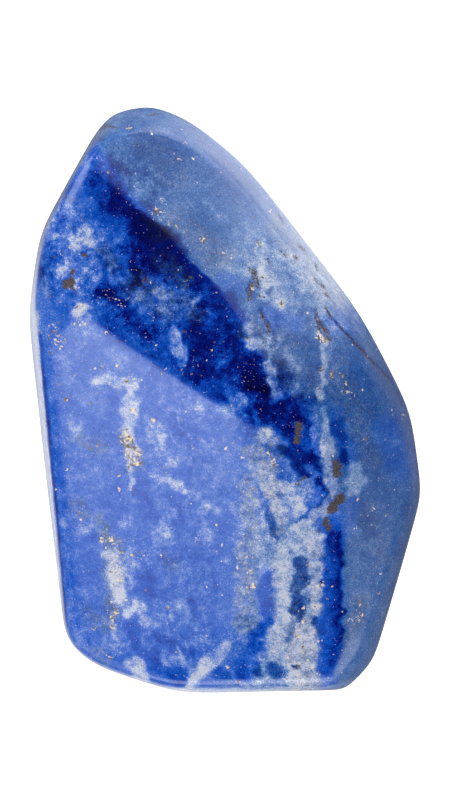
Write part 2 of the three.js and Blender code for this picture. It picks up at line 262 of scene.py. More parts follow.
CALCITE_STROKES = [
    # Upper left, above the front face.
    (-7.7, 14.9, -7.4, 14.3, 0.6, 0.5, 0.28, 0.9),
    (-7.8, 14.5, -7.5, 14.4, 0.15, 0.3, 0.5, 0.8),
    (-6.9, 14.4, -6.5, 13.9, 0.35, 0.4, -0.1, 0.8),
    (-8.3, 13.7, -7.5, 13.6, 0.25, 0.4, 0.5, 0.8),
    (-6.9, 13.45, -6.7, 13.4, 0.1, 0.2, 0.8, 0.9),
    (-8.7, 12.8, -8.2, 11.2, 0.45, 0.5, 0.28, 0.9),
    (-8.4, 11.8, -8.2, 11.5, 0.25, 0.4, 0.5, 0.7),
    (-9.7, 12.2, -9.2, 12.8, 0.3, 0.4, 0, 0.8),
    (-7.3, 12.9, -6.3, 11, 0.9, 0.8, -0.3, 0.9),
    (-6.4, 12, -5.9, 11.2, 0.5, 0.5, -0.6, 0.9),
    (-7.5, 11.2, -7, 10.4, 0.4, 0.4, 0.1, 0.8),
    (-7, 10, -5.2, 9.9, 0.5, 0.6, 0.12, 0.8),
    (-6.7, 9.6, -6.4, 9.4, 0.2, 0.3, 0.4, 0.7),
    (-9.2, 9.6, -7.9, 9.6, 0.5, 0.7, 0.8, 0.9),
    (-8.8, 9.9, -8.2, 10.3, 0.3, 0.5, 0.68, 0.8),
    (-9.6, 10.5, -9.2, 10.2, 0.2, 0.4, 0.5, 0.7),
    (-7.6, 10.4, -7.4, 10, 0.25, 0.4, 0.45, 0.7),
    (-10.9, 9.3, -10, 9.8, 0.25, 0.4, 0.55, 0.8),
    (-8.5, 8.3, -7.8, 8.6, 0.3, 0.4, 0.64, 0.8),
    (-9.7, 8.5, -8.9, 8.3, 0.2, 0.3, 0.2, 0.9),
    (-9.9, 7.6, -9, 8, 0.25, 0.4, 0.64, 0.85),
    (-8.6, 7.5, -8.4, 6.5, 0.2, 0.3, 0.5, 0.8),
    (-8.2, 7.7, -7.1, 7.7, 0.3, 0.3, 0.3, 0.9),
    (-8, 6.8, -7.7, 7.2, 0.22, 0.3, 0.62, 0.8),
    (-6.9, 7.3, -6.3, 7.2, 0.25, 0.4, 0.55, 0.8),
    (-7.1, 8.8, -6.9, 8.1, 0.25, 0.4, 0.5, 0.7),
    (-6.3, 9, -5.9, 7.9, 0.5, 0.5, -0.15, 0.8),
    (-5.6, 8.2, -5.4, 6.9, 0.3, 0.4, -0.5, 0.9),
    (-7.5, 6.5, -6.2, 5.8, 0.45, 0.5, -0.6, 0.9),
    (-11.1, 8, -11, 7.6, 0.2, 0.3, 0, 0.7),
    (-10.8, 7.3, -10.7, 6.4, 0.2, 0.3, 0.58, 0.8),
    (-10.2, 6.6, -9.8, 5.6, 0.4, 0.5, 0.2, 0.8),
    (-9.9, 6, -9.7, 6, 0.2, 0.3, 0.5, 0.8),
    (-5, 10.4, -3.4, 9.3, 0.8, 0.6, -0.75, 0.95),
    (-3.6, 9.2, -2.6, 8.4, 0.5, 0.6, -0.5, 0.9),
    # Table, left of the worn ridge.
    (-5.2, 6.2, -4.8, 5.3, 0.35, 0.5, 0.45, 0.75),
    (-4.3, 7, -3.8, 6.8, 0.3, 0.5, 0.35, 0.7),
    (-3.9, 6.4, -3.2, 5.5, 0.4, 0.5, 0.58, 0.8),
    (-3.5, 8, -3, 7.2, 0.35, 0.5, -0.15, 0.8),
    (-2.8, 7.9, -2.5, 6.5, 0.15, 0.3, 0.12, 0.8),
    (-2.5, 5.6, -2.2, 5.2, 0.25, 0.3, 0.4, 0.7),
    (-1.9, 5.8, -1.6, 6, 0.2, 0.3, 0.62, 0.8),
    (-1, 5.3, -0.6, 4.9, 0.15, 0.3, 0.35, 0.6),
    (-1.6, 4.5, -1, 3.4, 0.1, 0.3, 0.25, 0.5),
    (-2.9, 3.9, -2.8, 3, 0.42, 0.3, 0.66, 0.9),
    (-2.8, 3, -2.6, 2.2, 0.2, 0.3, 0.66, 0.9),
    (-5.4, 4.6, -4.4, 3.9, 0.5, 0.6, -0.4, 0.9),
    (-4.5, 4.1, -3.9, 4.6, 0.12, 0.2, 0.2, 0.7),
    (-6.6, 5.6, -5.8, 5.2, 0.35, 0.4, -0.35, 0.8),
    (-1.8, 4.2, -1.2, 1.8, 0.6, 0.8, -0.45, 0.9),
    (0.2, 6.2, 0.9, 4.4, 0.4, 0.5, -0.15, 0.8),
    (-0.6, 1, 0.5, 0.5, 0.4, 0.6, 0.05, 0.8),
    (-0.7, 1.75, -0.2, 2.25, 0.1, 0.2, 0.35, 0.7),
    (-1.95, 2.6, -1.8, 2.5, 0.1, 0.2, 0.25, 0.7),
    (1.4, 3.7, 2.1, 3.3, 0.4, 0.35, 0.66, 0.9),
    (1.2, 4.6, 1.5, 4, 0.3, 0.4, 0.5, 0.8),
    (2.6, 3.9, 2.7, 2.8, 0.3, 0.3, 0.73, 0.9),
    (2.5, 2.7, 2.8, 1.1, 0.25, 0.3, 0.68, 0.9),
    (2.8, 1, 3.2, 0.3, 0.3, 0.4, 0.5, 0.8),
    (2.05, 2.85, 2.3, 2.5, 0.2, 0.2, 0.12, 0.9),
    (1.2, 2.3, 1.6, 1.9, 0.5, 0.4, -0.5, 0.9),
    (1.7, 1.5, 2.2, 0.6, 0.45, 0.35, -0.85, 0.95),
    (3.3, 2, 3.7, 0.9, 0.35, 0.4, -0.1, 0.85),
    (3.9, 2.8, 4.3, 2, 0.28, 0.4, 0.62, 0.8),
    (3.8, 0.7, 4.3, 0.1, 0.35, 0.5, 0.36, 0.7),
    (2.2, -0.5, 4.2, -1, 0.6, 0.5, -0.42, 0.9),
    (4.4, 0, 4.3, -1.2, 0.2, 0.4, -0.35, 0.85),
    (4.6, -0.6, 5.4, 0.1, 0.18, 0.3, 0, 0.85),
    (0.2, 0.4, 0.5, -0.4, 0.3, 0.5, 0.2, 0.85),
    (0.9, 0.3, 1, -0.3, 0.22, 0.25, 0.62, 0.85),
    (0.8, -0.8, 1.3, -1.9, 0.4, 0.4, 0.24, 0.9),
    (1.6, -0.4, 2, -1, 0.15, 0.3, 0.5, 0.6),
    # Shoulder, right of the worn ridge.
    (-4.8, 16.9, -3.2, 16.5, 0.4, 0.8, 0.55, 0.7),
    (-4.6, 15.2, -3.2, 14.4, 0.8, 1, 0.16, 0.7),
    (-4.4, 12.7, -3.2, 12, 0.5, 0.9, 0.42, 0.6),
    (-1.2, 11.9, 0.2, 10.7, 0.16, 0.35, 0.62, 0.8),
    (-2.4, 10.2, -1, 9, 0.5, 0.7, 0.4, 0.6),
    (-0.2, 7.2, 0.8, 6.6, 0.4, 0.6, 0.34, 0.7),
    (2.1, 9, 2.4, 7.4, 0.35, 0.4, 0.73, 0.85),
    (2.3, 7.6, 2.6, 6.9, 0.4, 0.4, 0.86, 0.9),
    (2.4, 6.2, 3.3, 5.8, 0.4, 0.4, 0.81, 0.85),
    (3.2, 7.4, 3.8, 6.2, 0.45, 0.6, 0.65, 0.8),
    (3.4, 8.9, 4.4, 7.7, 0.55, 0.7, 0.7, 0.8),
    (4.6, 8.2, 5.9, 6.4, 0.6, 0.6, 0.71, 0.8),
    (2.5, 6.5, 2.7, 6.35, 0.17, 0.12, 0.28, 0.95),
    (3.4, 7.6, 3.7, 7.3, 0.15, 0.25, 0.34, 0.8),
    (6.6, 6.4, 6.9, 5.7, 0.3, 0.5, 0.65, 0.8),
    (2.7, 4.9, 4, 4.6, 0.45, 0.35, 0.36, 0.9),
    (4.5, 5.2, 5, 4.6, 0.3, 0.5, 0.42, 0.8),
    (5.2, 4.5, 5.3, 3.9, 0.2, 0.3, 0.65, 0.8),
    (6.1, 5, 6.4, 4.2, 0.28, 0.25, 0.55, 0.9),
    (6.7, 5.5, 7.4, 4.6, 0.3, 0.4, 0.5, 0.85),
    (1.3, 6, 1.9, 5, 0.3, 0.4, 0.52, 0.8),
    (3.2, 3.6, 4.9, 2.6, 0.6, 0.7, 0.26, 0.7),
    (5, 3.2, 5, 0.8, 0.3, 0.5, 0.22, 0.8),
    (6.6, 3.2, 7.4, 2.4, 0.5, 0.8, 0.3, 0.7),
    (5.8, 3.5, 5.75, 1.2, 0.2, 0.15, 0.76, 0.9),
    (6.05, 3, 6.1, 2.2, 0.12, 0.2, 0.62, 0.8),
    (5.75, 1.1, 5.65, 0.2, 0.22, 0.2, 0.71, 0.9),
    (5.4, -0.6, 5.5, -3, 0.2, 0.25, 0.48, 0.85),
    (5.85, -0.5, 5.95, -1.4, 0.15, 0.25, 0.65, 0.85),
    (5.95, -1.5, 6.05, -2.9, 0.28, 0.2, 0.79, 0.92),
    (6, -3.3, 6.2, -4.4, 0.32, 0.25, 0.66, 0.9),
    (6.4, -4.5, 6.5, -5.6, 0.28, 0.25, 0.62, 0.9),
    (6.7, -1.4, 7.1, -2.3, 0.4, 0.4, -0.12, 0.9),
    (6.85, -2.9, 7.15, -3.5, 0.25, 0.25, -0.35, 0.9),
    (6.6, -2.85, 7.9, -2.7, 0.08, 0.2, 0.3, 0.7),
    (7.7, -4.2, 7.8, -5.3, 0.55, 0.4, 0.74, 0.92),
    (7.2, -6.3, 7.2, -6.9, 0.3, 0.35, 0.45, 0.8),
    (8.8, -2, 10.1, -2.6, 0.4, 0.6, 0.36, 0.7),
    (10.1, -2.4, 10.2, -2.5, 0.12, 0.2, 0.6, 0.7),
    (9.1, -3.4, 9.7, -4.9, 0.35, 0.6, 0.3, 0.6),
    (8.2, -6.8, 8.8, -7.6, 0.6, 0.8, 0.1, 0.7),
    (10.2, -5.8, 9.6, -9, 0.5, 0.7, 0.32, 0.7),
    (9.9, -9.2, 9.1, -13, 0.4, 0.6, 0.4, 0.7),
    (8.8, -13.4, 7.8, -16.4, 0.6, 0.7, 0.4, 0.7),
    (8.1, -12, 7.4, -14.2, 0.3, 0.5, 0.34, 0.7),
    # Lower centre.
    (2, -2.3, 3.1, -2.5, 0.6, 0.8, 0.6, 0.88),
    (2.3, -1.9, 2.9, -2.3, 0.25, 0.6, 0.72, 0.75),
    (1.7, -2.9, 2.6, -3.4, 0.4, 0.6, 0.55, 0.8),
    (3.3, -2.9, 4.6, -3.4, 0.3, 0.4, -0.3, 0.9),
    (1.1, -2.9, 1.7, -3.9, 0.35, 0.6, 0.5, 0.8),
    (2.2, -3.2, 2.3, -4.2, 0.35, 0.4, 0.65, 0.85),
    (3.2, -3.8, 3.7, -4.5, 0.35, 0.4, 0.36, 0.85),
    (4.6, -1.6, 4.9, -2.6, 0.35, 0.3, 0.02, 0.85),
    (4.3, -3.6, 4.8, -4.3, 0.4, 0.3, -0.35, 0.9),
    (5.2, -3.3, 5.6, -3.4, 0.18, 0.15, -0.55, 0.9),
    (5, -3.9, 5.4, -4.4, 0.3, 0.3, 0.42, 0.85),
    (5.5, -4.7, 5.7, -5, 0.22, 0.15, -0.3, 0.9),
    (5.9, -5.1, 6, -5.9, 0.14, 0.15, -0.2, 0.9),
    (2.7, -4.4, 2.9, -6, 0.26, 0.25, 0.79, 0.92),
    (2.9, -6, 3.3, -7.6, 0.3, 0.3, 0.78, 0.92),
    (3.2, -7.6, 3.6, -8.2, 0.3, 0.4, 0.65, 0.85),
    (3.7, -5.3, 4.4, -6.6, 0.45, 0.4, 0.71, 0.9),
    (4.2, -6.2, 4.6, -6.6, 0.3, 0.4, 0.82, 0.85),
    (4.5, -5.3, 5.2, -5.6, 0.4, 0.4, 0.56, 0.85),
    (3.2, -5.55, 3.35, -5.65, 0.2, 0.15, 0.3, 0.95),
    (2.2, -5, 2.3, -6.6, 0.14, 0.3, 0.36, 0.8),
    (2.7, -6.6, 2.8, -8, 0.14, 0.2, 0.1, 0.9),
    (2.9, -8.1, 3.3, -8.6, 0.2, 0.25, 0.16, 0.9),
    (5.3, -6.5, 5.7, -5.9, 0.3, 0.3, 0.3, 0.8),
    (4.4, -7.6, 5.4, -8.4, 0.6, 0.35, 0.9, 0.97),
    (5.3, -7.2, 6, -6.6, 0.35, 0.3, 0.73, 0.92),
    (4.3, -8.6, 5.5, -8.9, 0.4, 0.4, 0.84, 0.9),
    (4.1, -7.1, 5, -7, 0.07, 0.12, 0.14, 0.9),
    (5, -6.85, 6.1, -5.95, 0.08, 0.12, 0.08, 0.9),
    (1.5, -4.6, 1.5, -8.4, 0.45, 0.6, 0.55, 0.75),
    (0.7, -6.6, 0.9, -7, 0.3, 0.4, 0.62, 0.7),
    (1.9, -8.4, 2.5, -8.6, 0.4, 0.4, 0.65, 0.8),
    (1.2, -9, 1.3, -13.2, 0.6, 0.5, 0.56, 0.8),
    (1.8, -11.6, 1.8, -12.6, 0.18, 0.25, 0.45, 0.8),
    (2.5, -9, 2.4, -10.3, 0.28, 0.3, 0.68, 0.9),
    (2.6, -10.6, 2.5, -13.4, 0.42, 0.3, 0.14, 0.97),
    (2.9, -11, 2.9, -11.6, 0.14, 0.2, 0.1, 0.8),
    (2.2, -13.7, 1.5, -15.2, 0.42, 0.3, 0.14, 0.95),
    (1.4, -15.2, 1, -16.4, 0.42, 0.3, 0.14, 0.95),
    (3.4, -8.9, 3.5, -12.6, 0.45, 0.35, 0.81, 0.95),
    (3.3, -12.8, 3, -14.8, 0.55, 0.4, 0.88, 0.95),
    (2.5, -14.4, 2.9, -15.2, 0.35, 0.4, 0.8, 0.9),
    (3.3, -11.8, 3.3, -12.6, 0.2, 0.3, 0.68, 0.7),
    (5.4, -9, 5.4, -10.9, 0.45, 0.4, 0.68, 0.9),
    (5.5, -11.3, 5.65, -12.6, 0.42, 0.3, 0.84, 0.95),
    (4.7, -13.5, 4.7, -16.8, 0.85, 0.5, 0.79, 0.95),
    (3.9, -15.2, 4.1, -17, 0.5, 0.4, 0.81, 0.95),
    (5.4, -15, 5.4, -16.2, 0.15, 0.4, 0.6, 0.8),
    (4.45, -9.7, 4.4, -11, 0.42, 0.2, 0.04, 0.97),
    (4.3, -11.8, 4.25, -12.7, 0.42, 0.2, 0.03, 0.97),
    (4.7, -11.9, 5, -12, 0.14, 0.15, 0.12, 0.9),
    (3.8, -13.1, 3.7, -14.2, 0.14, 0.15, 0.34, 0.9),
    (5.75, -11.1, 5.8, -11.25, 0.14, 0.1, -0.45, 0.95),
    (5.6, -13.2, 5.75, -13.9, 0.24, 0.2, -0.05, 0.92),
    (4.2, -15.85, 4.35, -15.9, 0.13, 0.1, -0.5, 0.97),
    (2.9, -15.8, 3.2, -16.3, 0.35, 0.5, 0.04, 0.85),
    (1.8, -15.7, 2.1, -16.4, 0.18, 0.25, 0, 0.9),
    (-0.5, -16.3, 0, -16.5, 0.35, 0.25, 0.1, 0.95),
    (1.5, -16.7, 2.3, -16.9, 0.22, 0.3, 0.79, 0.9),
    (0.5, -16.9, 1.1, -17, 0.14, 0.2, 0.7, 0.85),
    (2.5, -17, 3.6, -17.1, 0.1, 0.2, 0.5, 0.8),
    (6.1, -8.6, 6.1, -16, 0.28, 0.4, 0.12, 0.95),
    (6.55, -7.9, 6.55, -15.8, 0.26, 0.4, -0.15, 0.92),
    (6.8, -7.6, 6.8, -14.4, 0.12, 0.25, -0.5, 0.92),
    (6.1, -8.4, 6.3, -7.7, 0.2, 0.3, -0.35, 0.9),
    (5.9, -16, 6.2, -16.5, 0.25, 0.3, 0.08, 0.85),
    # Broad front face.
    (-8.9, 5.2, -8.5, 5.6, 0.3, 0.4, 0.92, 0.95),
    (-7.5, 1.1, -7, 1.3, 0.28, 0.4, 0.84, 0.9),
    (-6.4, 1.1, -5.4, 0.8, 0.32, 0.4, 0.84, 0.9),
    (-5.7, 0.6, -5.7, -2.1, 0.38, 0.4, 0.84, 0.95),
    (-5.45, -0.4, -5.2, -1.4, 0.2, 0.3, 0.92, 0.95),
    (-5.8, -2.2, -5.6, -3.6, 0.4, 0.4, 0.79, 0.9),
    (-5.6, -3.9, -5.6, -5.2, 0.17, 0.2, 0.84, 0.95),
    (-5.65, -5.5, -5.65, -7.5, 0.05, 0.15, 0.72, 0.9),
    (-9.3, -1.2, -8.9, -1.9, 0.3, 0.5, 0.66, 0.8),
    (-4.5, -1.4, -4.1, -2.2, 0.35, 0.5, 0.66, 0.85),
    (-4.3, -2.4, -3.7, -3.2, 0.35, 0.5, 0.62, 0.8),
    (-3.3, -3.7, -2.9, -4.1, 0.25, 0.4, 0.64, 0.8),
    (-4.5, -4.5, -3.4, -4.9, 0.2, 0.3, 0.72, 0.9),
    (-3.4, -4.8, -2.4, -5.4, 0.3, 0.3, 0.79, 0.95),
    (-3.7, -6.1, -3.3, -6.9, 0.3, 0.4, 0.64, 0.85),
    (-4.1, -7.3, -3.4, -8.1, 0.32, 0.4, 0.74, 0.9),
    (-9.7, -7.3, -9.5, -7.5, 0.22, 0.3, 0.7, 0.85),
    (-8.4, -7.5, -8, -7.7, 0.3, 0.4, 0.64, 0.8),
    (-6.3, -7.2, -6.1, -7.4, 0.15, 0.3, 0.66, 0.8),
    (-1.1, -6.3, -0.5, -6.8, 0.3, 0.4, 0.68, 0.8),
    (0.3, -6.3, 0.9, -6.7, 0.25, 0.4, 0.64, 0.8),
    (-1.1, -7.9, -0.8, -8.2, 0.22, 0.3, 0.69, 0.85),
    (0, -9.2, 0.1, -9.4, 0.2, 0.3, 0.7, 0.85),
    (-2.9, 0.4, -2.7, -0.9, 0.06, 0.15, 0.69, 0.9),
    (-2.7, -0.9, -2.4, -1.9, 0.08, 0.15, 0.69, 0.9),
    (-3.2, -2, -3, -2.3, 0.12, 0.2, 0.72, 0.9),
    (-1.6, -0.2, -1.4, -0.5, 0.2, 0.4, 0.66, 0.8),
    (-0.4, -0.4, 0.5, -0.8, 0.3, 0.4, 0.64, 0.8),
    (-5, -5.8, -4, -7, 0.6, 0.8, 0.1, 0.9),
    (-6.8, -9.2, -6.2, -9.9, 0.42, 0.4, 0.86, 0.95),
    (-6.5, -9.9, -6.2, -11.8, 0.42, 0.4, 0.9, 1),
    (-5.7, -9.2, -5.3, -10.6, 0.35, 0.4, 0.66, 0.9),
    (-6.5, -12, -6.6, -14.4, 0.22, 0.3, 0.74, 0.95),
    (-4.6, -9.9, -4.3, -10.7, 0.25, 0.4, 0.1, 0.9),
    (-5.7, -12.6, -4.9, -12.3, 0.3, 0.35, 0.92, 1),
    (-5.4, -11.9, -4.9, -12.9, 0.25, 0.3, 0.88, 0.9),
    (-4.7, -13, -4.1, -13.8, 0.3, 0.35, 0.68, 0.95),
    (-5.6, -13.5, -5.2, -15.2, 0.4, 0.4, 0.1, 0.9),
    (-4.2, -14.2, -2.2, -15, 0.4, 0.5, 0.1, 0.9),
    (-4.3, -15.5, -2.6, -16.8, 0.55, 0.4, 0.1, 0.9),
    (-5.5, -15.8, -5, -16.6, 0.32, 0.3, 0.87, 1),
    (-6.4, -16.5, -5.6, -16.8, 0.2, 0.3, 0.8, 0.95),
    (-3.9, -15.2, -3.5, -15.8, 0.2, 0.3, 0.66, 0.95),
    (-2.8, -14.9, -2.5, -15.5, 0.17, 0.25, 0.76, 0.95),
    (0.1, -14.7, -0.9, -15.6, 0.35, 0.4, 0.76, 0.95),
    (-1, -15.8, -2.2, -16.9, 0.4, 0.35, 0.9, 1),
    (-2.5, -12.4, -2.1, -12.8, 0.3, 0.4, 0.68, 0.85),
    (-2.1, -11.8, -1.7, -12, 0.25, 0.4, 0.1, 0.9),
    (-7.6, -15, -7.1, -15.5, 0.3, 0.5, 0.62, 0.8),
    (-4.3, -1.8, -3.9, -2.7, 0.3, 0.4, 0.7, 0.8),
    (-2.1, -2.5, -1.9, -4, 0.12, 0.25, 0.2, 0.8),
    (-4, -5.9, -3.6, -7.3, 0.3, 0.5, 0.66, 0.8),
    (-4.2, -8, -3.9, -8.6, 0.22, 0.4, 0.72, 0.8),
    (-5.2, -5.4, -4.6, -6.4, 0.3, 0.4, 0.12, 0.8),
    (-3.1, -6, -2.8, -7, 0.2, 0.3, 0.15, 0.8),
    (-5.2, -10.9, -3.8, -11.6, 0.4, 0.4, 0.1, 0.85),
    (-8.8, -1.4, -8.5, -2.1, 0.25, 0.4, 0.62, 0.8),
    (-9.9, -2.6, -9.8, -5, 0.3, 0.6, 0.2, 0.7),
    (-8.8, -8, -7.9, -8.3, 0.3, 0.4, 0.25, 0.7),
    (-9.2, -9.9, -9, -11, 0.35, 0.6, 0.25, 0.7),
    (-6.1, -10, -5.4, -11, 0.25, 0.4, 0.72, 0.8),
    (-1.5, -13.4, 0, -13.2, 0.4, 0.6, 0.25, 0.7),
    (-2.2, -9.3, -1.2, -10.2, 0.5, 0.6, 0.25, 0.6),
    (0.2, 0.5, 1, -1, 0.3, 0.4, 0.55, 0.6),
    (0.9, -1, 1.5, -1.9, 0.3, 0.3, 0.1, 0.9),
]

# Fine marks along the edges, all painted light and shade: pale rims that are painted reflections of the
# white surroundings on the walls and the wear, a painted dark reflection in the thin blue line inside
# the left one, and painted shade at the dark bottom of the crack.
PAINTED_LIGHT_AND_SHADE_STROKES = [
    # Painted highlight on the steep left wall: the pale strip adds to the rendered reflection of the white
    # surroundings.
    (-11.35, 5.1, -10.47, -5, 0.22, 0.2, 0.86, 0.95),
    (-10.45, -5, -9.8, -13, 0.12, 0.16, 0.8, 0.95),
    # Painted dark reflection: the thin blue line on the rounded edge inside the pale strip.
    (-10.98, 3.9, -10.85, 2, 0.1, 0.14, -0.2, 0.7),
    (-10.85, 2, -10.2, -5, 0.1, 0.14, -0.2, 0.95),
    (-10.2, -5, -9.5, -13.6, 0.08, 0.14, -0.2, 0.95),
    (-11.4, 8.5, -11.5, 5, 0.16, 0.35, 0.8, 0.9),
    # Painted shade at the dark bottom of the crack.
    (6.1, 5.3, 6.9, 4.25, 0.03, 0.12, -0.9, 0.85),
    (6.9, 4.25, 7.6, 3.5, 0.03, 0.1, -1, 0.85),
    (7.6, 3.5, 9, 2.1, 0.02, 0.1, -1, 0.8),
    (9, 2.1, 9.8, 1.3, 0.01, 0.1, -0.9, 0.6),
    # Painted reflections of the bright surroundings on the worn rims of the nose, the lower left, the foot
    # and the shoulder.
    (-10.9, 9.9, -8.2, 15, 0.1, 0.4, 0.65, 0.8),
    (-9.5, -15.2, -7, -16.5, 0.08, 0.3, 0.6, 0.8),
    (-6.8, -16.75, -4.8, -17.25, 0.2, 0.35, 0.78, 0.9),
    (-4.8, -17.35, 4.5, -17.45, 0.2, 0.4, 0.85, 0.9),
    (4.5, -17.4, 8, -16.8, 0.15, 0.5, 0.6, 0.9),
    (-7.4, 16, -6.4, 16.9, 0.3, 0.5, 0.6, 0.8),
    (-6.4, 17.1, -3, 17.2, 0.1, 0.8, 0.6, 0.8),
    (-3, 17.1, 1, 14.3, 0.1, 1.2, 0.6, 0.8),
    (1, 14.3, 5, 9.3, 0.1, 1.2, 0.66, 0.8),
    (5, 9.3, 8.5, 4.3, 0.1, 0.8, 0.6, 0.7),
]

# Grey haze where the blue is clouded by fine dust of other minerals.
HAZE_STROKES = [
    (-5.3, 6.8, -3.4, 5.6, 0.8, 0.9, 0.9, 1),
    (-2.4, 6, -1.7, 5, 0.5, 0.6, 0.8, 1),
    (-3.5, 8.2, -2.6, 7.2, 0.6, 0.7, 0.9, 1),
    (-4.6, 10.6, -3.8, 9.8, 0.5, 0.6, 0.7, 1),
    (-7.2, 8.9, -6.9, 8, 0.4, 0.5, 0.8, 1),
    (-9.8, 12.6, -9.2, 11.8, 0.4, 0.5, 0.7, 1),
    (-10.9, 7.4, -10.6, 6.4, 0.3, 0.4, 0.6, 1),
    (-4.6, 15.6, -3, 13.4, 1, 1.2, 0.7, 1),
    (-2.6, 10.8, -0.2, 8.4, 0.8, 0.8, 0.9, 1),
    (3.2, 10.4, 6.4, 6, 0.8, 0.8, 1, 1),
    (2, 8, 3, 6, 0.5, 0.8, 0.6, 1),
    (1.4, 4.2, 2.6, 3.2, 0.6, 0.5, 0.9, 1),
    (2.6, 2.8, 3, 0.6, 0.4, 0.5, 0.8, 1),
    (3.2, 3.4, 5.2, 1, 0.8, 0.8, 0.6, 1),
    (3.8, 0.8, 4.3, 0.2, 0.4, 0.5, 0.8, 1),
    (5.8, 3.6, 5.7, 0.2, 0.3, 0.3, 0.8, 1),
    (6.5, 1.6, 8.2, -1.8, 0.8, 0.8, 0.9, 1),
    (8.3, -2.2, 8.8, -3.6, 0.5, 0.7, 0.8, 1),
    (8.6, -6.6, 9.3, -9.5, 0.6, 1, 0.7, 1),
    (8.2, -11.8, 7.3, -14.4, 0.4, 0.7, 0.9, 1),
    (6, -1.8, 6.1, -3, 0.3, 0.4, 0.5, 1),
    (6.1, -3.2, 6.5, -5.8, 0.45, 0.4, 0.9, 1),
    (5.3, -7.2, 6, -6.5, 0.4, 0.4, 0.8, 1),
    (4.4, -7.8, 5.4, -8.8, 0.6, 0.4, 0.5, 1),
    (2.8, -4.4, 3.2, -8, 0.4, 0.4, 0.9, 1),
    (2.2, -2.4, 2.7, -2.8, 0.8, 0.5, 0.9, 1),
    (1.6, -3, 2.3, -4, 0.6, 0.5, 0.9, 1),
    (-8.6, -2.3, -7.5, -2.8, 0.5, 0.7, 0.7, 1),
    (-8.9, -6.2, -8.3, -6.9, 0.35, 0.5, 0.8, 1),
    (-7.4, -7.5, -6.6, -8.7, 0.5, 0.6, 0.9, 1),
    (-6.9, -9.4, -6.8, -13.8, 0.35, 0.5, 0.8, 1),
    (-6.3, -9.4, -6.2, -11.8, 0.35, 0.5, 0.6, 1),
    (-5.9, -2.4, -5.5, -3.8, 0.5, 0.4, 0.8, 1),
    (-8.3, -12.6, -7.6, -13.4, 0.4, 0.6, 0.7, 1),
    (-7.9, -15.2, -7.2, -15.6, 0.3, 0.5, 0.7, 1),
    (-3.4, -9.2, -3, -10, 0.4, 0.6, 0.6, 1),
    (1.5, -4.8, 1.5, -8.4, 0.5, 0.6, 0.9, 1),
    (1.2, -9, 1.3, -13.4, 0.6, 0.6, 0.9, 1),
    (3.4, -9, 3.1, -15, 0.5, 0.5, 0.6, 1),
    (5.4, -9.2, 5.4, -12.6, 0.45, 0.4, 0.95, 1),
    (4.45, -9.7, 4.3, -12.7, 0.4, 0.3, 0.6, 1),
    (4.6, -13.4, 4.7, -16.8, 1, 0.5, 1, 1),
]

# Brown rust in hollows of the polish and in old grains of pyrite.
RUST_STROKES = [
    (-9.4, 6.85, -9.05, 7, 0.26, 0.3, 1, 1),
    (-9.15, 7.1, -9.08, 7.55, 0.1, 0.2, 1, 1),
    (-9.45, 7.05, -9.7, 7.1, 0.08, 0.2, 1, 1),
    (-9, 6.85, -8.85, 6.5, 0.1, 0.2, 1, 1),
    (-8.45, 8.6, -8.25, 8.5, 0.18, 0.25, 0.7, 1),
    (-10.7, 9.4, -9.95, 9.85, 0.06, 0.25, 0.55, 1),
    (-9.5, 10.2, -8.9, 10.55, 0.06, 0.25, 0.5, 1),
    (-8.4, 10.7, -8.3, 10.7, 0.08, 0.2, 0.8, 1),
    (-9.65, 8.85, -9.6, 8.8, 0.07, 0.2, 0.7, 1),
    (-10, 8.5, -10, 8.4, 0.07, 0.2, 0.7, 1),
    (-4.8, 7.05, -4.5, 7.1, 0.14, 0.3, 0.65, 1),
    (-4.3, 9.05, -4.2, 9, 0.08, 0.2, 0.7, 1),
    (-4, 9.8, -3.9, 10, 0.08, 0.3, 0.5, 1),
    (-2.15, 7.4, -2.05, 7.4, 0.09, 0.2, 0.75, 1),
    (-2.4, 4, -2.3, 3.95, 0.1, 0.25, 0.6, 1),
    (1.2, 3.8, 1.28, 3.8, 0.09, 0.1, 1, 1),
    (1.2, 2.25, 1.3, 2.2, 0.08, 0.15, 0.7, 1),
    (4, 0.15, 4, 0, 0.08, 0.2, 0.7, 1),
    (4.45, -1.5, 4.3, -2.3, 0.24, 0.3, 0.85, 1),
    (4.4, -4.9, 4.8, -4.6, 0.12, 0.25, 0.7, 1),
    (6.65, -3.7, 6.65, -4.3, 0.27, 0.3, 0.8, 1),
    (6.9, -4.8, 6.9, -5.1, 0.06, 0.2, 0.6, 1),
    (6.95, -5.9, 6.35, -6.5, 0.28, 0.3, 0.9, 1),
    (6.1, -7.15, 6.1, -7.5, 0.24, 0.3, 0.8, 1),
    (5.65, -7.8, 5.6, -8, 0.08, 0.2, 0.7, 1),
    (5.6, 0.95, 5.6, 0.5, 0.06, 0.2, 0.65, 1),
    (-6.8, -12.2, -6.5, -13, 0.2, 0.5, 0.45, 1),
]

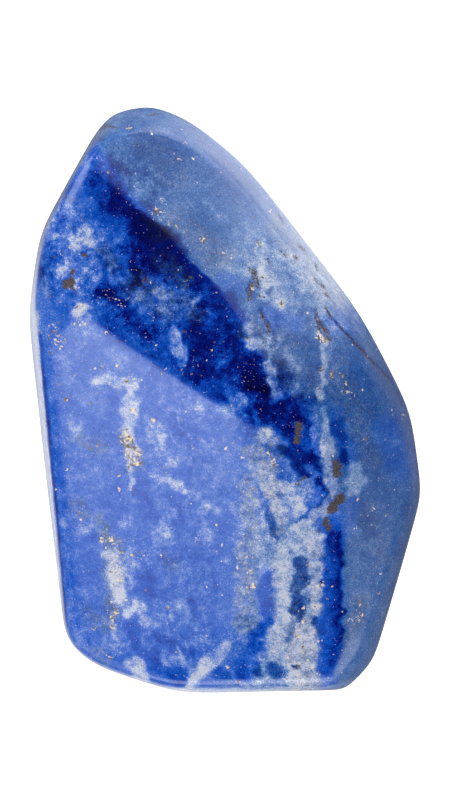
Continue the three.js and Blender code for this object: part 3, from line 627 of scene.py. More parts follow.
# How thickly fine pyrite is scattered: the share of its cells that hold a fleck. A finer sprinkle
# thickens with it.
PYRITE_STROKES = [
    (-6, -13, -6, 3, 5.5, 1, 0.07, 1),
    (-5.9, -2.5, -5.5, -3.6, 0.45, 0.4, 0.75, 1),
    (-6.5, -12.4, -6.5, -13.4, 0.3, 0.4, 0.6, 1),
    (-6.5, -9.3, -6.3, -11, 0.35, 0.4, 0.4, 1),
    (-7.2, -8.2, -6.7, -8.5, 0.4, 0.4, 0.4, 1),
    (-10.2, 4.3, -10, 3.4, 0.35, 0.4, 0.55, 1),
    (-8.9, 5.4, -8.5, 4.8, 0.3, 0.4, 0.4, 1),
    (-5.4, -9.3, -4.4, -9.3, 0.15, 0.3, 0.5, 1),
    (-6.3, 1, -5.3, 1, 0.3, 0.4, 0.35, 1),
    (-4.3, 11.5, -3.8, 11.2, 0.3, 0.3, 0.5, 1),
    (1.3, -9, 1.5, -11.4, 0.6, 0.5, 0.25, 1),
    (1.5, -4.6, 1.2, -8.4, 0.4, 0.5, 0.2, 1),
    (2.6, -3.5, 2.8, -3.9, 0.15, 0.25, 0.8, 1),
    (1.2, 1.9, 2.2, 1.3, 0.6, 0.5, 0.16, 1),
    (-7.2, 6.4, -6.3, 5.8, 0.5, 0.5, 0.3, 1),
    (6.9, 1.4, 7.3, 0.4, 0.3, 0.4, 0.35, 1),
    (6.3, 1.7, 6.3, 1.4, 0.06, 0.15, 1, 1),
    (8, -12.2, 7.6, -13.1, 0.4, 0.5, 0.3, 1),
    (4.6, -13.4, 4.9, -16.8, 0.8, 0.5, 0.28, 1),
    (4.8, -10.9, 5.9, -12.2, 0.4, 0.6, 0.25, 1),
    (5.4, 3.9, 5.7, 3.5, 0.12, 0.2, 1, 1),
    (5.7, 3.55, 5.95, 3.6, 0.08, 0.15, 0.9, 1),
    (2.7, 8.5, 5, 6.5, 1.2, 1, 0.15, 1),
]

# Single flecks of pyrite: place and radius.
FLECKS = [
    (-8.6, 5.6, 0.12), (-8.95, 4.5, 0.1), (-10.4, 2.8, 0.1), (-7.05, 4, 0.1), (-7.35, 1.9, 0.1),
    (-6.4, 2, 0.08), (-6.9, 1, 0.1), (-5.8, 1.1, 0.1), (-9.5, 0, 0.12), (-8.1, -2.85, 0.12),
    (-7.6, -2.7, 0.1), (-9.4, -4.2, 0.1), (-6.3, -4.5, 0.08), (-6.3, -5.3, 0.1), (-5.5, -5.35, 0.1),
    (-4.3, -1.2, 0.14), (-5.45, -0.6, 0.16), (-8.7, -6.8, 0.1), (-7.4, -8.3, 0.12), (-6.85, -8.3, 0.12),
    (-3.5, -9.7, 0.1), (-3.4, -12.4, 0.1), (-7.85, -13.6, 0.1), (-6.85, -15.4, 0.12), (-1.5, -8.4, 0.08),
    (0.1, -2.9, 0.1), (1, -3.4, 0.1), (1.65, -11.1, 0.16), (0.7, -10, 0.08), (1.6, -10.2, 0.1),
    (0.8, -16.9, 0.1), (0.15, -15.9, 0.08), (3.7, -15.4, 0.1), (4.3, -14.1, 0.12), (5.8, -11, 0.1),
    (6, -11.8, 0.08), (5.4, -12.3, 0.1), (4.9, -11, 0.08), (4.7, -12.4, 0.1), (5.6, -14.4, 0.1),
    (9.2, -11.5, 0.08), (9.3, -10.4, 0.08), (8, -12.1, 0.1), (7.5, -13, 0.1), (8, -13.1, 0.08),
    (9.2, -4.8, 0.08), (7.8, -7.6, 0.08), (8.8, -6.5, 0.1), (10.6, -1, 0.08), (9.65, -6.9, 0.08),
    (8.4, -2.3, 0.08), (-4.1, 11.3, 0.14), (-3.8, 11.9, 0.1), (-3.4, 10.5, 0.1), (-2.95, 10.35, 0.1),
    (-1.25, 9.5, 0.16), (-1.85, 14.4, 0.08), (-5.7, 16.2, 0.1), (-4.4, 15.9, 0.08), (-3, 14.7, 0.1),
    (-2.7, 14.3, 0.1), (-0.1, 8.7, 0.12), (1.7, 10.9, 0.08), (2, 9.3, 0.1), (1.65, 6.7, 0.14),
    (3.4, 5.7, 0.14), (2.7, 11.3, 0.08), (6.35, 1.65, 0.1), (6.35, 1.4, 0.1), (7, 1.4, 0.08),
    (7.2, 1, 0.1), (7.3, 0.5, 0.08), (7.9, 5, 0.12), (5.6, 3.75, 0.16), (5.85, 3.6, 0.16),
    (-6.9, 13.5, 0.1),
]


# ---------------------------------------------------------------------------------------------
# Shape: the worn stone is where a smooth greatest value of its flats' distances is zero.


def direction(azimuths, leans):
    """Unit vectors: (sin lean cos azimuth, sin lean sin azimuth, cos lean), from degrees."""
    turn, tip = np.broadcast_arrays(np.radians(azimuths), np.radians(leans))
    return np.stack([np.sin(tip) * np.cos(turn), np.sin(tip) * np.sin(turn), np.cos(tip)], axis=-1)


def planes_of(flats, points):
    """Normals and offsets of the planes with these azimuths and leans through these points."""
    azimuths, leans = np.array([flat[:2] for flat in flats], float).T
    normals = direction(azimuths, leans)
    return normals, (normals * points).sum(axis=1)


def round_about(centre, azimuths, reaches, height):
    """Points at the given distances from a centre, in the given azimuths, at one height."""
    turn = np.radians(azimuths)
    x = centre[0] + reaches * np.cos(turn)
    y = centre[1] + reaches * np.sin(turn)
    return np.stack([x, y, np.full_like(x, height)], axis=1)


def top_planes():
    """The top's flats, each through its own height on the Z axis."""
    rises = np.array([rise for _, _, rise in TOP_FLATS])
    return planes_of(TOP_FLATS, rises[:, None] * [0, 0, 1])


def girdle_planes():
    """The walls and undercuts through the girdle, the keel flats and the resting flat."""
    azimuths, leans, reaches = np.array(WALLS, float).T
    girdle = round_about((0, 0), azimuths, reaches + GIRDLE_DRAW_IN, GIRDLE_HEIGHT)
    walls = list(zip(azimuths, leans))
    undercuts = [(azimuth, UNDERCUT_LEAN) for azimuth in azimuths]
    keel_azimuths, keel_reaches = np.array(KEEL_FLATS, float).T
    keel = round_about(RESTING_FLAT_CENTRE, keel_azimuths, keel_reaches, 0)
    keel_flats = [(azimuth, KEEL_LEAN) for azimuth in keel_azimuths]
    flats = walls + undercuts + keel_flats + [(0, 180)]
    return planes_of(flats, np.concatenate([girdle, girdle, keel, [[0, 0, -BELOW_RESTING_FLAT]]]))


TOP_PLANES = top_planes()
GIRDLE_PLANES = girdle_planes()


def smooth_greatest(values, wear):
    """wear * log(sum(exp(value / wear))) along the last axis, and each value's share in it."""
    greatest = values.max(axis=-1, keepdims=True)
    weights = np.exp((values - greatest) / wear)
    total = weights.sum(axis=-1, keepdims=True)
    return (greatest + wear * np.log(total))[..., 0], weights / total


def worn_top(points):
    """The smooth greatest distance outside the top's flats, and its slope. A crown adds
    away^2 / (2 * radius) - rise to its flat's distance, and away / radius to its slope."""
    normals, offsets = TOP_PLANES
    distances = points @ normals.T - offsets
    for flat, radius, middle, rise in CROWNS:
        distances[..., flat] += ((points[..., :2] - middle) ** 2).sum(axis=-1) / (2 * radius) - rise
    value, shares = smooth_greatest(distances, TOP_EDGE_WEAR)
    slope = shares @ normals
    for flat, radius, middle, _ in CROWNS:
        slope[..., :2] += shares[..., flat, None] * (points[..., :2] - middle) / radius
    return value, slope


def worn_girdle(points):
    """The smooth greatest distance outside the girdle's and keel's flats, and its slope."""
    normals, offsets = GIRDLE_PLANES
    value, shares = smooth_greatest(points @ normals.T - offsets, GIRDLE_EDGE_WEAR)
    return value, shares @ normals


def stone_field(points):
    """About how far points are outside the worn surface, and the slope of that distance."""
    over_top, top_slope = worn_top(points)
    over_girdle, girdle_slope = worn_girdle(points)
    value, shares = smooth_greatest(np.stack([over_top, over_girdle], axis=-1), SHOULDER_EDGE_WEAR)
    return value, shares[..., :1] * top_slope + shares[..., 1:] * girdle_slope


def leave_points(rays):
    """Where rays from the heart leave the stone: Newton's steps inward from far outside."""
    steps = 14
    reach = np.full(rays.shape[:-1], LENGTH)
    for _ in range(steps):
        value, slope = stone_field(HEART + reach[..., None] * rays)
        reach -= value / (slope * rays).sum(axis=-1)
    points = HEART + reach[..., None] * rays
    return points, stone_field(points)[1]


def rays_from_heart(around, rise):
    """Unit vectors at angles around and elevations, the angles first drawn out to the stone's oval."""
    turn, rise = np.broadcast_arrays(np.arctan2(LENGTH * np.sin(around), WIDTH * np.cos(around)), rise)
    level = np.cos(rise)
    return np.stack([level * np.cos(turn), level * np.sin(turn), np.sin(rise)], axis=-1)


def stone_grid(columns, rows):
    """Points and normals of the skin, rows from top to bottom and columns around.

    Along each column the rows are evenly spaced by the length of the curve over the surface, where
    a stretch below the girdle counts for a third of its length."""
    around = np.arange(columns) / columns * 2 * np.pi
    samples = 240
    rises = np.linspace(np.pi / 2, -np.pi / 2, samples)
    traced, _ = leave_points(rays_from_heart(around[:, None], rises[None, :]))
    stretches = np.linalg.norm(np.diff(traced, axis=1), axis=2)
    low = traced[:, 1:, 2] < GIRDLE_HEIGHT
    lengths = np.cumsum(stretches * np.where(low, 1 / 3, 1), axis=1)
    lengths = np.concatenate([np.zeros((columns, 1)), lengths], axis=1)
    wanted = np.linspace(0, 1, rows)
    spaced = np.stack([np.interp(wanted * column[-1], column, rises) for column in lengths], axis=1)
    return leave_points(rays_from_heart(around[None, :], spaced))


def lattice_noise(points, size, seed):
    """Soft noise from -1 to 1: random values on a cubic lattice, blended by a smooth step."""
    cells = 64
    values = np.random.default_rng(seed).uniform(-1, 1, (cells, cells, cells))
    places = points / size
    corner = np.floor(places).astype(int)
    part = places - corner
    part = part * part * (3 - 2 * part)
    total = np.zeros(len(points))
    for step in itertools.product((0, 1), repeat=3):
        share = np.where(step, part, 1 - part).prod(axis=1)
        i, j, k = ((corner + step) % cells).T
        total += share * values[i, j, k]
    return total


def smooth_step(low, high, values):
    """0 below low, 1 above high and 3t^2 - 2t^3 between."""
    t = np.clip((values - low) / (high - low), 0, 1)
    return t * t * (3 - 2 * t)


def distance_to_stroke(plan, x0, y0, x1, y1):
    """Distance in the plan from points to the straight line between a stroke's two ends."""
    start, along = np.array([x0, y0]), np.array([x1 - x0, y1 - y0])
    share = np.clip((plan - start) @ along / max(along @ along, 1e-9), 0, 1)
    return np.linalg.norm(plan - start - share[:, None] * along, axis=1)


def painted(plan, base, strokes):
    """A value at each point: strokes laid over the base one after another, each with a soft edge."""
    values = np.full(len(plan), float(base)) if np.isscalar(base) else base.copy()
    for x0, y0, x1, y1, half_width, softness, value, cover in strokes:
        away = distance_to_stroke(plan, x0, y0, x1, y1)
        share = cover * (1 - smooth_step(half_width - softness / 2, half_width + softness / 2, away))
        values += share * (value - values)
    return values


def beyond_ridge(plan):
    """0 on the table's side of the worn ridge and 1 on the shoulder's side, by how far x is past it."""
    ridge_x, ridge_y, blend = np.array(WORN_RIDGE[::-1]).T
    past = plan[:, 0] - np.interp(plan[:, 1], ridge_y, ridge_x)
    return smooth_step(-1, 1, past / np.interp(plan[:, 1], ridge_y, blend))


def warped(points, wide, fine):
    """Offsets in the plan that make edges ragged: soft noise of 1.3, 0.6 and 0.35 mm together."""
    sizes = ((1.3, wide), (0.6, 0.6 * fine), (0.35, 0.4 * fine))
    offsets = np.zeros((len(points), 2))
    for index, (size, reach) in enumerate(sizes):
        for axis in (0, 1):
            offsets[:, axis] += reach * lattice_noise(points, size, 21 + 2 * index + axis)
    return offsets


def pit_nearness(points):
    """1 inside the pits and the crack, falling to 0 over a border of 0.3 mm, and their depth in mm.

    The depth falls by a smooth step from the middle line to 0 at 1.5 * half width + 0.1 mm from it."""
    ragged = points[:, :2] + warped(points, 0.0, 0.12)
    on_top = points[:, 2] > GIRDLE_HEIGHT
    near = np.zeros(len(points))
    depth = np.zeros(len(points))
    cracks = [(*a, *b, CRACK_HALF_WIDTH, CRACK_DEPTH) for a, b in zip(CRACK, CRACK[1:])]
    for x0, y0, x1, y1, half_width, deep in PITS + cracks:
        away = distance_to_stroke(ragged, x0, y0, x1, y1)
        near = np.maximum(near, 1 - (away - half_width) / PIT_BORDER)
        depth = np.maximum(depth, deep * (1 - smooth_step(0, 1.5 * half_width + 0.1, away)))
    return np.clip(near, 0, 1) * on_top, depth * on_top


def fitted_to_frame(points):
    """The skin moved and stretched to the frame's box, and cut level at height 0."""
    low, high = points.min(axis=0), points.max(axis=0)
    moved = points - [(low[0] + high[0]) / 2, (low[1] + high[1]) / 2, 0]
    scaled = moved * [WIDTH / (high[0] - low[0]), LENGTH / (high[1] - low[1]), HEIGHT / high[2]]
    scaled[:, 2] = np.maximum(scaled[:, 2], 0)
    return scaled


def mark_fields(points):
    """The marks' values at each point, by name, laid on the plan.

    Down the walls they drift by half the drop times soft noise of 3 mm, so that they don't hang straight.
    The painted highlights and shade along the edges fade out under the girdle. A fleck is strongest in
    its middle and falls to 0 at twice its radius."""
    drop = np.clip(DRIFT_START - points[:, 2], 0, None)[:, None]
    sideways = np.stack([lattice_noise(points, 3.0, 11), lattice_noise(points, 3.0, 12)], axis=1)
    plan = points[:, :2] + DRIFT_FOR_DROP * drop * sideways
    brushed = plan + warped(points, 0.14, 0.42)
    shoulder = beyond_ridge(plan + warped(points, 0.0, 0.1))
    calcite = painted(brushed, 0.38, CALCITE_GROUNDS)
    calcite += shoulder * (painted(brushed, 0.3, SHOULDER_GROUNDS) - calcite)
    calcite += 0.1 * lattice_noise(points, 1.6, 41)
    calcite = painted(brushed, calcite, CALCITE_STROKES)
    # Painted light and shade laid into the calcite value: pale rims for reflections, dark lines for shade.
    with_painted_light = painted(points[:, :2] + warped(points, 0.02, 0.06), calcite, PAINTED_LIGHT_AND_SHADE_STROKES)
    ragged_height = points[:, 2] + 0.8 * lattice_noise(points, 1.4, 61)
    calcite += smooth_step(PAINTED_LIGHT_GONE, PAINTED_LIGHT_WHOLE, ragged_height) * (with_painted_light - calcite)
    clear = painted(brushed, 0, CLEAR_SHOULDER)
    flecks = np.max([1 - np.hypot(*(plan - [x, y]).T) / (2 * radius) for x, y, radius in FLECKS], axis=0)
    pyrite = painted(brushed, 0.04, PYRITE_STROKES)
    return {
        "calcite": calcite,
        "unevenness": painted(plan, 0.6, UNEVENNESS_GROUNDS),
        "dust": np.maximum(shoulder - clear, painted(brushed, 0.5, DUST_GROUNDS)),
        "haze": painted(brushed, 0.05, HAZE_STROKES),
        "rust": painted(plan + warped(points, 0.1, 0.2), 0, RUST_STROKES),
        "pyrite": np.maximum(pyrite, 1.3 * flecks * (points[:, 2] > GIRDLE_HEIGHT)),
        "pit": pit_nearness(points)[0],
    }


def skin_faces(columns, rows):
    """Quads between neighbouring rows and columns, and a ring of triangles at each pole."""
    column = np.arange(columns)
    beside = (column + 1) % columns
    row = np.arange(rows - 3)[:, None] * columns + 1
    quads = np.stack([row + column, row + columns + column, row + columns + beside, row + beside], axis=-1)
    last = (rows - 3) * columns + 1
    bottom = (rows - 2) * columns + 1
    top_ring = np.stack([np.zeros(columns, int), 1 + column, 1 + beside], axis=1)
    bottom_ring = np.stack([last + column, np.full(columns, bottom), last + beside], axis=1)
    return top_ring.tolist() + quads.reshape(-1, 4).tolist() + bottom_ring.tolist()


def make_stone():
    """The stone's skin: the worn flats, a slight waviness from tumbling, and the pits and the crack.

    Each point of the worn surface moves along its normal by up to 0.02 mm for the waves. Fitted to the
    frame's box, it moves inward by the depth of the pits. The poles are one point each."""
    grid, slopes = stone_grid(COLUMNS, ROWS)
    points = np.concatenate([grid[:1, 0], grid[1:-1].reshape(-1, 3), grid[-1:, 0]])
    slopes = np.concatenate([slopes[:1, 0], slopes[1:-1].reshape(-1, 3), slopes[-1:, 0]])
    normals = slopes / np.linalg.norm(slopes, axis=1, keepdims=True)
    wave = WAVE_HEIGHT * lattice_noise(points, WAVE_SIZE, 51)
    skin = fitted_to_frame(points + normals * wave[:, None])
    skin -= normals * pit_nearness(skin)[1][:, None]
    mesh = bpy.data.meshes.new("tumbled_lapis")
    mesh.from_pydata((skin * MM).tolist(), [], skin_faces(COLUMNS, ROWS))
    mesh.polygons.foreach_set("use_smooth", np.ones(len(mesh.polygons), bool))
    for name, values in mark_fields(skin).items():
        mesh.attributes.new(name, "FLOAT", "POINT").data.foreach_set("value", values.astype(np.float32))
    mesh.update()
    stone = bpy.data.objects.new("tumbled_lapis", mesh)
    bpy.context.scene.collection.objects.link(stone)
    return stone


# ---------------------------------------------------------------------------------------------
# Materials


def linear(colour):
    """Linear red, green, blue and alpha of an sRGB hex colour such as #1354cc."""
    parts = [int(colour[i : i + 2], 16) / 255 for i in (1, 3, 5)]
    return [c / 12.92 if c <= 0.04045 else ((c + 0.055) / 1.055) ** 2.4 for c in parts] + [1]


def add_node(tree, kind, sockets=None, **settings):
    """A new node with its settings. A socket is given a value, or another node's output to link."""
    node = tree.nodes.new(kind)
    for name, value in settings.items():
        setattr(node, name, value)
    for name, value in (sockets or {}).items():
        if isinstance(value, bpy.types.NodeSocket):
            tree.links.new(value, node.inputs[name])
        else:
            node.inputs[name].default_value = value
    return node


# Body colours of the stone from its darkest blue, over deep blue at 0, to white calcite at 1.
CLEAR_BLUES = [
    (-1, "#000234"),
    (-0.5, "#000b6c"),
    (-0.25, "#01208c"),
    (0, "#0348be"),
    (0.15, "#0a57cd"),
    (0.3, "#2666d5"),
    (0.45, "#4473dc"),
    (0.6, "#698de2"),
    (0.75, "#95ace6"),
    (1, "#dce1f2"),
]
DUSTY_BLUES = [
    (-1, "#010126"),
    (-0.5, "#020c66"),
    (0, "#043a92"),
    (0.3, "#2f63b0"),
    (0.55, "#5a85c9"),
    (0.75, "#8caad9"),
    (1, "#cfd9ee"),
]
GREY_BLUES = [
    (-1, "#050818"),
    (-0.5, "#101b46"),
    (0, "#22427e"),
    (0.3, "#4a6aa6"),
    (0.55, "#7a92c0"),
    (0.75, "#a6b2d2"),
    (1, "#dadcec"),
]


# What lies over the blue: its darkest and its palest colour. Pyrite's are partly painted light: its
# brass is lifted to a near-white cream for a painted glint, and its brown is a painted shade on the grains.
SPECKLES = {
    "rust": ("#221a1e", "#64565a"),
    "pit": ("#241618", "#7c6866"),
    "pyrite": ("#7d6a58", "#f8e8d0"),
}

# Noises in the rock: the size of their cells in mm, their detail and their roughness. The scratches
# of a real polish are finer. They are drawn this coarse so that they show.
ROCK_NOISES = {
    "clouds": (1.0, 3, 0.55),
    "mottles": (0.4, 5, 0.8),
    "grains": (0.075, 1, 0.5),
    "haze": (0.35, 4, 0.7),
    "rust_edge": (0.16, 4, 0.75),
    "rust_speckle": (0.09, 3, 0.8),
    "pit_edge": (0.11, 3, 0.75),
    "pit_speckle": (0.1, 2, 0.7),
    "sprinkle": (0.13, 2, 0.65),
    "pyrite_speckle": (0.3, 2, 0.5),
    "scratches": (0.14, 2, 0.5),
}

# Noises that are added to a mark, and how far each swings its value, half down and half up.
NOISE_SWINGS = {"clouds": 0.7, "mottles": 1.1, "grains": 0.85, "rust_edge": 2.6, "pit_edge": 2.6}

# The cells that hold a fleck of pyrite, in mm.
FLECK_CELL = 0.3

# The polish's roughness, what pyrite and what a pit or rust adds to it, and how metallic pyrite is.
POLISH_ROUGHNESS = 0.12
PYRITE_ROUGHNESS = 0.33
PIT_ROUGHNESS = 0.5
PYRITE_METAL = 0.3
SCRATCH_DEPTH = 0.004


def pyrite_flecks(tree, place, thickness):
    """1 in the flecks of pyrite and 0 between them, for how thickly they are scattered.

    Space is split into cells, and places are first bent by soft noise, which makes the flecks ragged.
    A cell holds one where its first random number is under the thickness. The fleck's radius is
    0.32 * (0.5 * second random number + thickness) + 0.08 of a cell."""
    cell = FLECK_CELL * MM
    wobble = add_node(tree, "ShaderNodeTexNoise", {"Vector": place, "Scale": 2 / cell, "Detail": 2})
    # The shift only picks which part of the endless pattern falls on the stone.
    shifted = add_node(tree, "ShaderNodeMapping", {"Vector": place, "Location": (0.1, 0.1, 0.1)})
    sockets = {0: wobble.outputs["Color"], 1: (0.7 * cell,) * 3, 2: shifted.outputs["Vector"]}
    bent = add_node(tree, "ShaderNodeVectorMath", sockets, operation="MULTIPLY_ADD").outputs[0]
    cells = add_node(tree, "ShaderNodeTexVoronoi", {"Vector": bent, "Scale": 1 / cell})
    draw = add_node(tree, "ShaderNodeSeparateColor", {"Color": cells.outputs["Color"]})
    sockets = {0: draw.outputs["Red"], 1: thickness}
    chosen = add_node(tree, "ShaderNodeMath", sockets, operation="LESS_THAN").outputs[0]
    sockets = {0: draw.outputs["Green"], 1: 0.5, 2: thickness}
    spread = add_node(tree, "ShaderNodeMath", sockets, operation="MULTIPLY_ADD").outputs[0]
    sockets = {0: spread, 1: 0.32, 2: 0.08}
    radius = add_node(tree, "ShaderNodeMath", sockets, operation="MULTIPLY_ADD").outputs[0]
    sockets = {0: cells.outputs["Distance"], 1: radius}
    inside = add_node(tree, "ShaderNodeMath", sockets, operation="LESS_THAN").outputs[0]
    return add_node(tree, "ShaderNodeMath", {0: chosen, 1: inside}, operation="MULTIPLY").outputs[0]


def polished_lapis():
    """Polished lapis lazuli: blue lazurite with white calcite, brassy pyrite and unpolished pits.

    The blue is a ramp over calcite + unevenness * (clouds + mottles) + grains. It blends to the dusty
    ramp by the dust and to the grey one by the haze. Rust, pits and pyrite then cover it, speckled.

    The polish is a clear gloss, a little softened by fine scratches. The pits and the rust are dull and
    brown. Pyrite is only 0.3 metal. Its colour is partly painted light: a near-white cream for a painted
    glint, so that the grains which mirror no softbox still shine, speckled with a brown painted shade."""
    material = bpy.data.materials.new("polished_lapis")
    material.use_nodes = True
    tree = material.node_tree
    tree.nodes.clear()
    place = add_node(tree, "ShaderNodeTexCoord").outputs["Object"]

    # The calcite mark also carries the painted highlights and painted shade of the rims and the crack.
    mark = {}
    for name in ("calcite", "unevenness", "dust", "haze", "rust", "pit", "pyrite"):
        mark[name] = add_node(tree, "ShaderNodeAttribute", attribute_name=name).outputs["Fac"]
    noise = {}
    for name, (size, detail, roughness) in ROCK_NOISES.items():
        sockets = {"Vector": place, "Scale": 1 / (size * MM), "Detail": detail, "Roughness": roughness}
        noise[name] = add_node(tree, "ShaderNodeTexNoise", sockets).outputs["Fac"]
    for name, swing in NOISE_SWINGS.items():
        sockets = {0: noise[name], 1: swing, 2: -swing / 2}
        noise[name] = add_node(tree, "ShaderNodeMath", sockets, operation="MULTIPLY_ADD").outputs[0]

    # Calcite is mixed into the blue in clouds, in mottles and in single grains.
    sockets = {0: noise["clouds"], 1: noise["mottles"]}
    uneven = add_node(tree, "ShaderNodeMath", sockets, operation="ADD").outputs[0]
    sockets = {0: uneven, 1: mark["unevenness"], 2: noise["grains"]}
    uneven = add_node(tree, "ShaderNodeMath", sockets, operation="MULTIPLY_ADD").outputs[0]
    sockets = {0: mark["calcite"], 1: uneven}
    calcite = add_node(tree, "ShaderNodeMath", sockets, operation="ADD").outputs[0]
    sockets = {0: calcite, 1: 0.5, 2: 0.5}
    share = add_node(tree, "ShaderNodeMath", sockets, operation="MULTIPLY_ADD").outputs[0]
    blues = []
    for stops in (CLEAR_BLUES, DUSTY_BLUES, GREY_BLUES):
        ramp = add_node(tree, "ShaderNodeValToRGB", {"Fac": share})
        elements = ramp.color_ramp.elements
        while len(elements) < len(stops):
            elements.new(0.5)
        for element, (value, colour) in zip(elements, stops):
            element.position = (value + 1) / 2
            element.color = linear(colour)
        blues.append(ramp.outputs["Color"])
    clear, dusty, grey = blues

    # Rust, pits and a fine sprinkle of pyrite, with noise that makes their edges ragged.
    sockets = {0: mark["rust"], 1: noise["rust_edge"]}
    rusty = add_node(tree, "ShaderNodeMath", sockets, operation="ADD").outputs[0]
    sockets = {0: mark["pit"], 1: noise["pit_edge"]}
    pitted = add_node(tree, "ShaderNodeMath", sockets, operation="ADD").outputs[0]
    sockets = {0: mark["pyrite"], 1: 0.28, 2: noise["sprinkle"]}
    sprinkled = add_node(tree, "ShaderNodeMath", sockets, operation="MULTIPLY_ADD").outputs[0]

    # Each patch starts where what it follows passes the first value, and is full at the second.
    limits = {
        "haze": (noise["haze"], 0.3, 0.6),
        "rust": (rusty, 0.4, 0.6),
        "rust_speckle": (noise["rust_speckle"], 0.35, 0.65),
        "pit": (pitted, 0.86, 1.0),
        "pit_speckle": (noise["pit_speckle"], 0.4, 0.65),
        "sprinkle": (sprinkled, 0.7, 0.74),
        "pyrite_speckle": (noise["pyrite_speckle"], 0.42, 0.56),
    }
    patch = {}
    for name, (value, low, high) in limits.items():
        sockets = {"Value": value, "From Min": low, "From Max": high}
        eased = add_node(tree, "ShaderNodeMapRange", sockets, interpolation_type="SMOOTHSTEP")
        patch[name] = eased.outputs[0]
    sockets = {0: mark["haze"], 1: patch["haze"]}
    haze = add_node(tree, "ShaderNodeMath", sockets, operation="MULTIPLY").outputs[0]
    sockets = {0: patch["sprinkle"], 1: pyrite_flecks(tree, place, mark["pyrite"])}
    pyrite = add_node(tree, "ShaderNodeMath", sockets, operation="MAXIMUM").outputs[0]

    # For pyrite the speckle mixes a brown painted shade with a near-white painted glint.
    speckled = {}
    for name, (dark, pale) in SPECKLES.items():
        sockets = {"Factor": patch[name + "_speckle"], 6: linear(dark), 7: linear(pale)}
        speckled[name] = add_node(tree, "ShaderNodeMix", sockets, data_type="RGBA").outputs[2]
    layers = [
        (mark["dust"], dusty),
        (haze, grey),
        (patch["rust"], speckled["rust"]),
        (patch["pit"], speckled["pit"]),
        (pyrite, speckled["pyrite"]),
    ]
    colour = clear
    for cover, above in layers:
        sockets = {"Factor": cover, 6: colour, 7: above}
        colour = add_node(tree, "ShaderNodeMix", sockets, data_type="RGBA").outputs[2]

    sockets = {0: patch["pit"], 1: patch["rust"]}
    dull = add_node(tree, "ShaderNodeMath", sockets, operation="MAXIMUM").outputs[0]
    sockets = {0: pyrite, 1: PYRITE_ROUGHNESS, 2: POLISH_ROUGHNESS}
    polish = add_node(tree, "ShaderNodeMath", sockets, operation="MULTIPLY_ADD").outputs[0]
    sockets = {0: dull, 1: PIT_ROUGHNESS, 2: polish}
    rough = add_node(tree, "ShaderNodeMath", sockets, operation="MULTIPLY_ADD").outputs[0]
    sockets = {0: pyrite, 1: PYRITE_METAL}
    metal = add_node(tree, "ShaderNodeMath", sockets, operation="MULTIPLY").outputs[0]
    sockets = {"Height": noise["scratches"], "Strength": 1.0, "Distance": SCRATCH_DEPTH * MM}
    bump = add_node(tree, "ShaderNodeBump", sockets)
    sockets = {
        "Base Color": colour,
        "Metallic": metal,
        "Roughness": rough,
        "IOR": 1.5,
        "Normal": bump.outputs["Normal"],
    }
    shader = add_node(tree, "ShaderNodeBsdfPrincipled", sockets)
    add_node(tree, "ShaderNodeOutputMaterial", {"Surface": shader.outputs[0]})
    return material


def lit_acrylic():
    """White acrylic lit from below, which burns out to white where the camera looks straight at it.

    What it throws back up at the stone is brightest beyond the upper right, most of all farther out.
    To the left and beyond the foot it is bright only close to the stone. Elsewhere it is faint."""
    material = bpy.data.materials.new("lit_acrylic")
    material.use_nodes = True
    tree = material.node_tree
    place = add_node(tree, "ShaderNodeTexCoord").outputs["Object"]
    stretch = (2 / (WIDTH * MM), 2 / (LENGTH * MM), 1)
    oval = add_node(tree, "ShaderNodeVectorMath", {0: place, 1: stretch}, operation="MULTIPLY").outputs[0]
    away = add_node(tree, "ShaderNodeVectorMath", {0: oval}, operation="LENGTH").outputs["Value"]
    sockets = {"Value": away, "From Min": 1.3, "From Max": 1.7, "To Min": 0.6, "To Max": 0.05}
    close = add_node(tree, "ShaderNodeMapRange", sockets, interpolation_type="SMOOTHSTEP").outputs[0]
    sockets = {"Value": away, "From Min": 1.3, "From Max": 1.75, "To Min": 1.05, "To Max": 2.2}
    far = add_node(tree, "ShaderNodeMapRange", sockets, interpolation_type="SMOOTHSTEP").outputs[0]
    towards = add_node(tree, "ShaderNodeVectorMath", {0: place}, operation="NORMALIZE").outputs[0]
    sockets = {0: towards, 1: tuple(direction(65, 90))}
    upper_right = add_node(tree, "ShaderNodeVectorMath", sockets, operation="DOT_PRODUCT").outputs["Value"]
    sockets = {"Value": upper_right, "From Min": 0.82, "From Max": 0.96, "To Min": 0.04, "To Max": far}
    right_glow = add_node(tree, "ShaderNodeMapRange", sockets, interpolation_type="SMOOTHSTEP").outputs[0]
    sockets = {0: towards, 1: tuple(direction(215, 90))}
    lower_left = add_node(tree, "ShaderNodeVectorMath", sockets, operation="DOT_PRODUCT").outputs["Value"]
    sockets = {"Value": lower_left, "From Min": 0.1, "From Max": 0.6}
    left_share = add_node(tree, "ShaderNodeMapRange", sockets, interpolation_type="SMOOTHSTEP").outputs[0]
    sockets = {0: close, 1: left_share, 2: right_glow}
    thrown = add_node(tree, "ShaderNodeMath", sockets, operation="MULTIPLY_ADD").outputs[0]
    seen = add_node(tree, "ShaderNodeLightPath").outputs["Is Camera Ray"]
    glow = add_node(tree, "ShaderNodeMapRange", {"Value": seen, "To Min": thrown, "To Max": 1.2}).outputs[0]
    shader = tree.nodes["Principled BSDF"]
    shader.inputs["Base Color"].default_value = linear("#8c8c8c")
    shader.inputs["Roughness"].default_value = 0.8
    shader.inputs["Emission Color"].default_value = (1, 1, 1, 1)
    tree.links.new(glow, shader.inputs["Emission Strength"])
    return material


